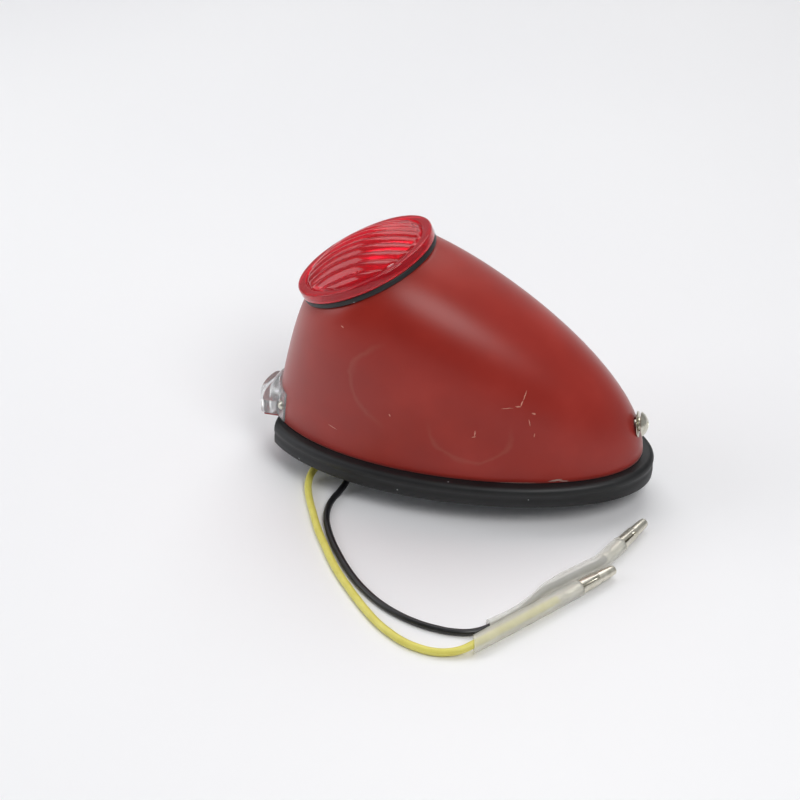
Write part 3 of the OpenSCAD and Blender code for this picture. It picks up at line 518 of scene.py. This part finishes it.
def cut(bm, tool):
    """The first solid with the second one taken out of it."""
    bodies = []
    for solid in (bm, tool):
        bmesh.ops.remove_doubles(solid, verts=solid.verts, dist=1e-4)
        bmesh.ops.recalc_face_normals(solid, faces=solid.faces)
        bodies.append(put("cutting", mesh_of("cutting", solid)))
    knife = bodies[0].modifiers.new("cut", "BOOLEAN")
    knife.operation, knife.solver, knife.object = "DIFFERENCE", "EXACT", bodies[1]
    done = bodies[0].evaluated_get(bpy.context.evaluated_depsgraph_get())
    result = bmesh.new()
    result.from_mesh(done.to_mesh())
    done.to_mesh_clear()
    for body in bodies:
        mesh = body.data
        bpy.data.objects.remove(body)
        bpy.data.meshes.remove(mesh)
    return result


def frame_of(origin, x_axis, y_axis, z_axis):
    """Matrix that puts a form at an origin, along three axes."""
    return Matrix.Translation(origin) @ Matrix((x_axis, y_axis, z_axis)).transposed().to_4x4()


LENS_FRAME = frame_of(SEAT, LENS_FORE, Vector((0, 1, 0)), LENS_UP)
SCREW_FRAME = frame_of(SCREW_AT, Vector((sin(SCREW_LEAN), 0, -cos(SCREW_LEAN))), Vector((0, 1, 0)),
                       Vector((cos(SCREW_LEAN), 0, sin(SCREW_LEAN))))


def tube(name, points, diameter, finish, node):
    """A round smooth curve through points, in millimetres, that stands for a node."""
    data = bpy.data.curves.new(name, "CURVE")
    data.dimensions = "3D"
    spline = data.splines.new("BEZIER")
    spline.bezier_points.add(len(points) - 1)
    for knot, point in zip(spline.bezier_points, points):
        knot.co = Vector(point) * MM
        knot.handle_left_type = knot.handle_right_type = "AUTO"
    spline.resolution_u = 6
    data.bevel_depth = diameter / 2 * MM
    data.bevel_resolution = 6
    data.use_fill_caps = True
    data.materials.append(finish)
    piece = put(name, data)
    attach(piece, "lamp")
    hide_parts(node)
    return piece


def heading(turn):
    """Direction on the table at a turn from +X."""
    return Vector((cos(turn), sin(turn), 0))


def into_crimp(bend, end, turn):
    """A lead's way through its sleeve, up to the crimp."""
    return bend + [tuple(end - heading(turn) * (CRIMP_LEN + back)) for back in (CRIMP_LEAD_IN, 0)]


def along(points, share):
    """Point and direction at a share of a smooth line's length."""
    spots = [Vector(p) for p in points]
    steps = [(b - a).length for a, b in zip(spots, spots[1:])]
    left = share * sum(steps)
    for i, step in enumerate(steps):
        if left <= step or i == len(steps) - 1:
            before, after = spots[max(i - 1, 0)], spots[min(i + 2, len(spots) - 1)]
            t = left / step
            leave = (spots[i + 1] - before).normalized()
            arrive = (after - spots[i]).normalized()
            return spots[i].lerp(spots[i + 1], t), leave.lerp(arrive, t).normalized()
        left -= step


def make_sleeve(colour, bend, end, turn, widths, slant):
    """Soft tube, a little flattened by lying on the table, its mouth cut on the slant. widths are
    its half widths at even steps."""
    line = into_crimp(bend, end, turn) + [tuple(end)]
    wall, rings, sides = 0.5, 60, 32
    tallest, lift = 3.4, 0.02
    wave_h, waves = 0.06, 37
    slanted = 6  # the slant fades out over the first sixth
    outer, inner = [], []
    for i in range(rings + 1):
        share = i / rings
        spot, run = along(line, share)
        beside = Vector((0, 0, 1)).cross(run)
        f = share * (len(widths) - 1)
        k = min(int(f), len(widths) - 2)
        half = widths[k] + (widths[k + 1] - widths[k]) * (f - k)
        half += wave_h * sin(waves * share + bend[0][0]) * sin(pi * share)
        tall = min(tallest, 0.9 * half + 0.6)
        base = Vector((spot.x, spot.y, tall + lift))
        tilt = slant * max(0, 1 - share * slanted)
        for ring, inset in ((outer, 0), (inner, wall)):
            ring.append([base + beside * (half - inset) * cos(a) + Vector((0, 0, (tall - inset) * sin(a)))
                         + run * tilt * cos(a) for a in (2 * pi * j / sides for j in range(sides))])
    bm = bmesh.new()
    through_rings(bm, outer + inner[::-1], closed=True)
    sleeve = piece_of(colour + "_tube_sleeve", bm, "lamp", SLEEVE_PVC, [colour + "_sleeve"], crease=50)
    return sleeve


def make_bullet(colour, end, turn):
    """Crimp inside the sleeve, rolled barrel with an open seam, waist and tapered nose."""
    run = heading(turn)
    at = frame_of(end, Vector((0, 0, -1)), Vector((-run.y, run.x, 0)), run)
    wall, core_r, tip_r, hole_r, hole_depth = 0.45, 1.1, 1.6, 0.9, 0.7
    waist_r, waist = CRIMP_R - 0.35, (-9.2, -8.6, -6.4, -5.8)
    bm = bmesh.new()
    barrel = [(BARREL_R, BARREL_GAP), (BARREL_R - 0.2, BARREL_LEN - 0.6), (BARREL_R - 0.5, BARREL_LEN),
              (BARREL_R - wall - 0.4, BARREL_LEN), (BARREL_R - wall - 0.2, BARREL_LEN - 0.6),
              (BARREL_R - wall, BARREL_GAP)]
    spun(bm, barrel, 44, at, SEAM_TURN + SEAM_ARC / 2, 360 - SEAM_ARC)
    crimp = [(0, -CRIMP_LEN), (CRIMP_R - 0.2, -CRIMP_LEN), (CRIMP_R, 0.4 - CRIMP_LEN)]
    crimp += zip((CRIMP_R, waist_r, waist_r, CRIMP_R), waist)
    crimp += [(CRIMP_R, BARREL_GAP), (core_r, 1.3), (core_r, BARREL_LEN - 2), (CRIMP_R, BARREL_LEN - 0.8)]
    nose = [(NOSE_R - 0.05, BARREL_LEN - 0.5), (NOSE_R - 0.05, BARREL_LEN + 0.1), (NOSE_R, BARREL_LEN + 0.5)]
    nose += [(NOSE_R - 0.1, BULLET_LEN - 4), (NOSE_R - 0.25, BULLET_LEN - 1.6)]
    nose += rounded(tip_r, BULLET_LEN - 0.35, 0.35, 20, 90, 4)
    hole = [(hole_r + 0.1, BULLET_LEN), (hole_r, BULLET_LEN - hole_depth), (0, BULLET_LEN - hole_depth)]
    spun(bm, crimp + nose + hole, 48, at)
    bullet = piece_of(colour + "_bullet_terminal", bm, "lamp", TIN, [colour + "_bullet"], crease=35)
    return bullet


def make_leads():
    """Both leads with their sleeves and terminals, and the leads inside the lamp."""
    for colour, route, bend, end, turn, d, length, finish, widths, slant in (
        ("yellow", YELLOW_ROUTE, YELLOW_BEND, YELLOW_END, YELLOW_TURN, YELLOW_D, YELLOW_LENGTH,
         YELLOW_PVC, (3.3, 3.5, 3.5, 3.5, 3.5, 3.45, 3.4), 2.2),
        ("black", BLACK_ROUTE, BLACK_BEND, BLACK_END, BLACK_TURN, BLACK_D, BLACK_LENGTH,
         BLACK_PVC, (2.1, 2.0, 1.95, 2.1, 2.9, 3.4, 3.45, 3.45, 3.45, 3.4), 0.4),
    ):
        # The black sleeve has slid back along its lead
        covered = route[-4:] + bend if colour == "black" else bend
        sleeve = make_sleeve(colour, covered, end, turn, widths, slant)
        bullet = make_bullet(colour, end, turn)
        lead = tube(colour + "_insulation", route + into_crimp(bend, end, turn), d, finish,
                    colour + "_lead")
    tube("inner_yellow_insulation", INNER_YELLOW, YELLOW_D, YELLOW_PVC, "inner_yellow_lead")
    tube("inner_black_insulation", INNER_BLACK, BLACK_D, BLACK_PVC, "inner_black_lead")


make_leads()


def outline(a, d):
    """Shell outline at its foot, moved outwards by d."""
    reach = TAIL_REACH if cos(a) > 0 else BLUNT_REACH
    return Vector((WIDE_X + (reach + d) * cos(a), (HALF_W + d) * sin(a)))


def around(a, tail, side, blunt):
    """Blend of a tail, a side and a blunt-end value around the shell."""
    return side * sin(a) ** 2 + (tail if cos(a) > 0 else blunt) * cos(a) ** 2


def on_lens(a, r, h):
    """Place at an angle, a radius and a height over the lens's seat."""
    return SEAT + h * LENS_UP + r * (cos(a) * LENS_FORE + sin(a) * Vector((0, 1, 0)))


def skin(a, t, inset, down):
    """Point of the shell: a is the angle around, t runs from the foot up to the mouth."""
    foot = outline(a, -inset).to_3d()
    foot.z = EDGE_Z
    head = on_lens(a, MOUTH_R - inset, -down)
    away = head - (SEAT - down * LENS_UP)
    fall = radians(around(a, *MOUTH_FALL))
    flat = Vector((away.x, away.y, 0)).normalized()
    p1 = foot + Vector((0, 0, around(a, *FOOT_RISE)))
    p2 = head + around(a, *MOUTH_PULL) * (cos(fall) * flat - Vector((0, 0, sin(fall))))
    s = 1 - t
    return s ** 3 * foot + 3 * s * s * t * p1 + 3 * s * t * t * p2 + t ** 3 * head


def blunt_x(y, z):
    """Where the outside of the shell's blunt end lies, found by halving."""
    low, high = pi / 2, pi
    for _ in range(16):
        a = (low + high) / 2
        below, above = 0.0, 0.6
        for _ in range(12):
            t = (below + above) / 2
            below, above = (t, above) if skin(a, t, 0, RING_T).z < z else (below, t)
        spot = skin(a, t, 0, RING_T)
        low, high = (a, high) if spot.y > abs(y) else (low, a)
    return spot.x


def make_shell():
    """Pressed shell, its foot folded under and its mouth turned in, with the window's opening,
    the screw hole, the notches for the lens lugs, and the ledge under the clear hood."""
    sides, rows, inner_rows = 144, 44, 16
    fold_t, fold_in = 0.012, 0.45
    opening_x, opening_depth, opening_corner = -77, 14, 1.6
    hole_r, hole_half = SCREW_R + 1, 6
    notch_depth, notch_clear = 1.4, 0.4
    angles = [2 * pi * j / sides for j in range(sides)]
    outer = [[skin(a, i / rows, 0, RING_T) for a in angles] for i in range(rows + 1)]
    outer[0] = [skin(a, fold_t, 0, RING_T) for a in angles]
    under = [[skin(a, 0, fold_in, RING_T) for a in angles]]
    lip = [[on_lens(a, MOUTH_R - 0.3, -RING_T) for a in angles],
           [on_lens(a, MOUTH_HOLE_R, -RING_T) for a in angles],
           [on_lens(a, MOUTH_HOLE_R, -RING_T - STEEL_T) for a in angles]]
    inner = [[skin(a, i / inner_rows, STEEL_T, RING_T + STEEL_T) for a in angles]
             for i in range(inner_rows, -1, -1)]
    bm = bmesh.new()
    through_rings(bm, under + outer + lip + inner, closed=True)
    tool = bmesh.new()
    block = Matrix.Translation((opening_x, 0, (OPENING_LOW_Z + OPENING_HIGH_Z) / 2)) @ Matrix.Diagonal(
        (opening_depth, 2 * OPENING_HALF_W, OPENING_HIGH_Z - OPENING_LOW_Z, 1))
    made = bmesh.ops.create_cube(tool, size=1, matrix=block)["verts"]
    edges = {e for v in made for e in v.link_edges if abs(e.verts[0].co.x - e.verts[1].co.x) > 1}
    bmesh.ops.bevel(tool, geom=list(edges), offset=opening_corner, segments=5, profile=0.5,
                    affect="EDGES", material=-1)
    spun(tool, [(0, -hole_half), (hole_r, -hole_half), (hole_r, hole_half), (0, hole_half)], 40, SCREW_FRAME)
    low, high = -RING_T - notch_depth, -RING_T + notch_clear
    notch = [(MOUTH_HOLE_R - 1, low), (LUG_R + notch_clear, low), (LUG_R + notch_clear, high),
             (MOUTH_HOLE_R - 1, high)]
    for k in range(LUG_COUNT):
        turn = 360 / LUG_COUNT * k + NOTCH_TURN - NOTCH_ARC / 2
        spun(tool, notch, 20, LENS_FRAME, turn, NOTCH_ARC)
    bm = cut(bm, tool)
    through_rings(bm, ledge_rings())
    shell = piece_of("shell_pressing", bm, "lamp", PRIMER, ["shell"], crease=50)


def ledge_rings():
    """Ledge at the foot of the blunt end, its edge a little rounded."""
    centre, steps = HOOD_FACE_X + HOOD_BOW_R, 24
    rings = []
    for inset, z in ((0.25, 0), (0, 0.2), (0, LIP_T - 0.2), (0.25, LIP_T)):
        r = HOOD_BOW_R - LEDGE_INSET - inset
        w = HOOD_HALF_W - inset
        bow = [Vector((centre - sqrt(r * r - y * y), y, EDGE_Z + z))
               for y in (w - 2 * w * i / steps for i in range(steps + 1))]
        rings.append(bow + [Vector((LEDGE_BACK_X, -w, EDGE_Z + z)), Vector((LEDGE_BACK_X, w, EDGE_Z + z))])
    return rings


def hood_x(y, z):
    """Face of the clear hood at y and z, or None beside and above it."""
    up = (z - STEP_Z) / (HOOD_TOP_Z - STEP_Z)
    if up >= 1 or abs(y) > HOOD_HALF_W:
        return None
    face, corner = HOOD_FACE_X, BLOCK_CORNER
    if up > 0:
        face, corner = DOME_FACE_X + (HOOD_TOP_X - DOME_FACE_X) * (1 - sqrt(1 - up * up)), DOME_CORNER
    x = face + HOOD_BOW_R - sqrt(HOOD_BOW_R ** 2 - y * y)
    past = abs(y) - (HOOD_HALF_W - corner)
    return x + corner - sqrt(corner * corner - past * past) if past > 0 else x


def make_hood():
    """Moulded clear hood: a boxy block, a small dome over it, and a flange on the shell. Its front
    and back are grids with the same lines, which lie closest where the face turns."""
    flange_t, gap = 1.0, 0.04
    inside = [12, 10, 8, 6, 4.5, 3.6, 3, 2.4, 1.8, 1.6, 1.2, 0.8, 0.5, 0.25, 0.08, 0]
    outside = [0.01, 0.5, 1.4, 2.6, 3.6]
    half_ys = [HOOD_HALF_W - by for by in inside] + [HOOD_HALF_W + by for by in outside] + [HOOD_FLANGE_W]
    ys = [-y for y in half_ys[:0:-1]] + half_ys
    block = [5, 3, 1.5, 0.6, 0.2, 0.02]
    dome_and_top = [0.02, 0.5, 1.2, 2, 2.8, 3.6, 4.4, 5.1, 5.7, 6.2, 6.6, 6.85, 6.97, 7.03, 7.6]
    zs = [EDGE_Z + LIP_T + 0.02] + [STEP_Z - by for by in block] + [STEP_Z + by for by in dome_and_top]
    wall_x = {(y, z): blunt_x(y, z) for y in half_ys for z in zs}
    bm = bmesh.new()
    sheets = []
    for lift in (flange_t, gap):
        made = bmesh.ops.create_grid(bm, x_segments=len(ys) - 1, y_segments=len(zs) - 1, size=1)["verts"]
        for v in made:
            y = ys[round((v.co.x + 1) / 2 * (len(ys) - 1))]
            z = zs[round((v.co.y + 1) / 2 * (len(zs) - 1))]
            x = wall_x[abs(y), z] - lift
            face = hood_x(y, z) if lift == flange_t else None
            v.co = Vector((x if face is None else min(face, x), y, z))
        sheets.append({e for v in made for e in v.link_edges if e.is_boundary})
    bmesh.ops.bridge_loops(bm, edges=list(sheets[0] | sheets[1]))
    hood = piece_of("clear_hood", bm, "lamp", CLEAR, ["plate_window"], crease=45)


def make_window_rivets():
    """Rivets with a sloped rim round a nearly flat bright top."""
    rim_r, low, up_the_skin, lean = 1.95, 0.7, 0.2, 0.1
    profile = [(0, low), (rim_r, low), (rim_r, 1.05), (1.35, 1.75), (1.15, 1.92), (0.8, 2.06),
               (0.4, 2.14), (0, 2.16)]
    bm = bmesh.new()
    for side in (-1, 1):
        a = pi + side * RIVET_TURN
        foot = skin(a, up_the_skin, 0, RING_T)
        out = Vector((cos(a) / BLUNT_REACH, sin(a) / HALF_W, lean / HALF_W)).normalized()
        beside = Vector((0, 0, 1)).cross(out).normalized()
        spun(bm, profile, 32, frame_of(foot, beside, out.cross(beside), out))
    rivets = piece_of("domed_rivets", bm, "lamp", NICKEL, ["window_rivets"], crease=35)


def make_screw():
    """Domed screw with a cross recess, and the washer under its head with a raised ring."""
    ball_r, ball_z, reach, steps = 6.4, -1.8, 52, 20
    under, tip = 1.8, -14
    recess_z, recess_size, shrink = 4.3, (5, 1.1, 3, 1), (0.45, 0.6)
    crown = [(ball_r * sin(radians(reach * i / steps)), ball_z + ball_r * cos(radians(reach * i / steps)))
             for i in range(steps + 1)]
    edge = [(HEAD_R, under + 0.2), (HEAD_R - 0.06, under + 0.06), (HEAD_R - 0.2, under)]
    shank = [(SCREW_R, under), (SCREW_R, tip + 0.6), (SCREW_R - 0.6, tip), (0, tip)]
    bm = bmesh.new()
    spun(bm, crown + edge + shank, 96, Matrix())
    for turn in (45, 135):
        tool = bmesh.new()
        slot = bmesh.ops.create_cube(tool, size=1, matrix=Matrix.Rotation(radians(turn), 4, "Z")
                                     @ Matrix.Translation((0, 0, recess_z)) @ Matrix.Diagonal(recess_size))
        for v in slot["verts"]:
            if v.co.z < recess_z:
                v.co = Vector((v.co.x * shrink[0], v.co.y * shrink[1], v.co.z))
        bm = cut(bm, tool)
    bmesh.ops.transform(bm, matrix=SCREW_FRAME, verts=bm.verts)
    screw = piece_of("domed_screw", bm, "lamp", NICKEL, ["shell_screw"], crease=30)
    bore, ring_r, ring_top, washer_r = SCREW_R + 0.2, 2.8, 1.7, 5.6
    plate = [(bore, 0.2), (4.6, 0.05), (washer_r - 0.3, 0.02), (washer_r - 0.1, 0.08), (washer_r, 0.25),
             (washer_r - 0.1, 0.42), (washer_r - 0.3, 0.5), (4.6, 0.52)]
    ring = [(ring_r + 0.5, 0.6), (ring_r + 0.2, 0.8), (ring_r + 0.1, ring_top - 0.1), (ring_r, ring_top),
            (bore, ring_top), (bore, 0.2)]
    bm = bmesh.new()
    spun(bm, plate + ring, 96, SCREW_FRAME)
    washer = piece_of("bright_washer", bm, "lamp", NICKEL, ["screw_washer"])


def dome(r):
    """Height of the lens's dome over its rim."""
    return sqrt(DOME_R ** 2 - r * r) - sqrt(DOME_R ** 2 - RIBBED_R ** 2)


def make_lens():
    """Moulded lens: flat rim, ribbed dome sunk a little in it, spigot and three lugs."""
    rim = FLANGE_T - RIM_SINK
    bore, inner_r = SPIGOT_R - SPIGOT_WALL, 23.2
    rows, inner_rows, fade_w = 64, 24, 0.9
    top = [(RIBBED_R * i / rows, rim + dome(RIBBED_R * i / rows)) for i in range(rows + 1)]
    edge = ([(RIBBED_R + 0.35, rim + 0.05), (RIBBED_R + 0.6, FLANGE_T - 0.15)]
            + rounded(RIBBED_R + 1.0, FLANGE_T - 0.3, 0.3, 120, 90, 2)
            + rounded(LENS_R - 0.7, FLANGE_T - 0.7, 0.7, 90, 0, 5)
            + rounded(LENS_R - 0.4, 0.4, 0.4, 0, -90, 3))
    below = [(SPIGOT_R, 0), (SPIGOT_R, 0.4 - SPIGOT_DEPTH), (SPIGOT_R - 0.3, -SPIGOT_DEPTH),
             (bore + 0.3, -SPIGOT_DEPTH), (bore, 0.3 - SPIGOT_DEPTH), (bore, 0.8)]
    inner_rs = [inner_r * (1 - i / inner_rows) for i in range(inner_rows + 1)]
    inside = [(r, rim + dome(r) - LENS_WALL) for r in inner_rs]
    bm = bmesh.new()
    spun(bm, top + edge + below + inside, 288, Matrix())
    pitch = 2 * RIBBED_R / RIB_COUNT
    for v in bm.verts:
        r = sqrt(v.co.x ** 2 + v.co.y ** 2)
        if r < RIBBED_R and v.co.z > rim + dome(r) - 1:
            fade = min(1, (RIBBED_R - r) / fade_w)
            wave = abs(sin(pi * (v.co.y / pitch + RIB_COUNT / 2)))
            v.co.z += RIB_H * fade * wave ** 0.85
    high = -RING_T - STEEL_T - LUG_GAP
    lug = [(SPIGOT_R - 0.4, high - LUG_H), (LUG_R - 0.3, high - LUG_H), (LUG_R, high - LUG_H + 0.3),
           (LUG_R, high), (SPIGOT_R - 0.4, high)]
    for k in range(LUG_COUNT):
        spun(bm, lug, 12, Matrix(), 360 / LUG_COUNT * k - LUG_ARC / 2, LUG_ARC)
    bmesh.ops.transform(bm, matrix=LENS_FRAME, verts=bm.verts)
    lens = piece_of("ribbed_lens", bm, "lens_cap", RED, ["lens"], crease=35)


def make_lens_ring():
    """Rubber ring between the shell's mouth and the lens's rim, its outer edges rounded."""
    low, high, corner = -RING_T, -0.1, 0.6
    inner, outer = MOUTH_HOLE_R + 0.2, MOUTH_R + 0.6
    profile = ([(inner, low), (outer - 0.1, low)] + rounded(outer, low + corner, corner, -90, 0, 4)
               + rounded(outer, high - corner, corner, 0, 90, 4) + [(inner, high), (inner, low)])
    bm = bmesh.new()
    spun(bm, profile, 192, LENS_FRAME)
    ring = piece_of("lens_ring", bm, "lamp", RING_RUBBER, ["lens_gasket"])


def fender_z(p):
    """Height of the fender's surface under the lamp."""
    return (CROWN_Z - (WHEEL_R - sqrt(WHEEL_R ** 2 - p.x ** 2))
            - (CROWN_R - sqrt(CROWN_R ** 2 - p.y ** 2)))


def gasket_path(d):
    """Gasket outline moved outwards by d, cut off in one plane across the blunt end."""
    cut_at = CUT_X + (0 if d > 0 else GASKET_LIP - d)
    corner = acos((cut_at - WIDE_X) / (BLUNT_REACH + d))
    round_steps, flat_steps = 150, 22
    line = [outline(corner * (2 * i / round_steps - 1), d) for i in range(round_steps + 1)]
    end = line[-1]
    line += [Vector((end.x, end.y * (1 - 2 * i / flat_steps))) for i in range(1, flat_steps)]
    return line


def gasket_ring(d, z):
    """Ring of the gasket at a height, or on the fender where z is None."""
    return [Vector((p.x, p.y, fender_z(p) if z is None else z)) for p in gasket_path(d)]


def make_base_gasket():
    """Rubber gasket: a rounded bead over a thin groove and a skirt that follows the fender."""
    lip, top = GASKET_LIP, EDGE_Z
    bead = rounded(lip - BEAD_R, top - BEAD_R, BEAD_R, -30, 90, 9)
    groove = [(lip - 0.1, top - 6.8), (lip - 0.12, top - 5.9), (lip - 0.35, top - 5.3),
              (lip - 0.38, top - 4.9)]
    rings = ([gasket_ring(lip - 0.2, None), gasket_ring(lip, top - 7.6)]
             + [gasket_ring(d, z) for d, z in groove + bead]
             + [gasket_ring(-GASKET_BAND, top), gasket_ring(-GASKET_BAND, None),
                gasket_ring(-2, None)])
    bm = bmesh.new()
    through_rings(bm, rings, closed=True)
    gasket = piece_of("rubber_base_gasket", bm, "lamp", GASKET_RUBBER, ["base_gasket"], crease=35)


make_shell()
make_hood()
make_window_rivets()
make_screw()
make_lens()
make_lens_ring()
make_base_gasket()


def area_light(name, place, target, size, watts, colour):
    """A soft box at a place, aimed at a target."""
    data = bpy.data.lights.new(name, "AREA")
    data.shape = "RECTANGLE"
    data.size, data.size_y = size
    data.energy = watts
    data.color = linear(colour)[:3]
    aim = Vector(target) - Vector(place)
    turn = aim.to_track_quat("-Z", "Y").to_matrix().to_4x4()
    put(name, data).matrix_world = Matrix.Translation(place) @ turn


def make_floor():
    """A wide pale sheet that curves up into the backdrop far behind the object."""
    material, place = start("pale_paper_table")
    width, front, bend_at, bend_r, top = 6, -3, 1.2, 0.5, 3
    shade = add(material, "ShaderNodeTexNoise", {"Scale": 1 / 400, "Detail": 1.0}, {"Vector": place})
    colour = add(material, "ShaderNodeValToRGB", links={"Fac": (shade, "Fac")},
                 stops=[(0.3, "#F0F0F2"), (0.7, "#F5F5F6")])
    surface = add(material, "ShaderNodeBsdfPrincipled", {"Roughness": 0.6},
                  {"Base Color": (colour, "Color")})
    add(material, "ShaderNodeOutputMaterial", links={"Surface": (surface, 0)})
    bm = bmesh.new()
    bend = rounded(bend_at, bend_r, bend_r, -90, 0, 12)
    line = [(front, 0), (bend_at, 0)] + bend + [(bend_at + bend_r, top)]
    corners = [bm.verts.new((-width / 2, y, z)) for y, z in line]
    edges = [bm.edges.new(pair) for pair in zip(corners, corners[1:])]
    made = bmesh.ops.extrude_edge_only(bm, edges=edges)["geom"]
    far = [v for v in made if isinstance(v, bmesh.types.BMVert)]
    bmesh.ops.translate(bm, vec=(width, 0, 0), verts=far)
    bmesh.ops.recalc_face_normals(bm, faces=bm.faces)
    mesh = mesh_of("floor", bm)
    mesh.materials.append(material)
    mesh.shade_smooth()
    put("floor", mesh)


def make_world():
    """A white room, dim towards the camera's side, and white where the camera sees it."""
    world = bpy.data.worlds.new("studio")
    world.use_nodes = True
    world.node_tree.nodes.clear()
    way = add(world, "ShaderNodeTexCoord")
    way = add(world, "ShaderNodeSeparateXYZ", links={"Vector": (way, "Generated")})
    glow = add(world, "ShaderNodeMapRange",
               {"From Min": -0.8, "From Max": 0.4, "To Min": 0.14, "To Max": 0.42}, {"Value": (way, "Y")})
    seen = add(world, "ShaderNodeLightPath")
    glow = add(world, "ShaderNodeMath", {"operation": "MAXIMUM"},
               {0: (glow, 0), 1: (seen, "Is Camera Ray")})
    sky = add(world, "ShaderNodeBackground", {"Color": linear("#F1F1F2")}, {"Strength": (glow, 0)})
    add(world, "ShaderNodeOutputWorld", links={"Surface": (sky, 0)})
    bpy.context.scene.world = world


make_floor()
make_world()
area_light("back_softbox", (-0.15, 0.6, 1.0), (0, 0, 0.03), (1.2, 0.9), 7.2, "#FFFFFF")
area_light("front_softbox", (0.5, -0.56, 0.98), (0, 0, 0.03), (0.55, 0.55), 6.3, "#FFFFFF")
area_light("left_softbox", (-1.1, -0.25, 0.6), (0, 0, 0.05), (0.7, 0.9), 4.6, "#F8FAFF")
bpy.context.scene.view_settings.view_transform = "Standard"
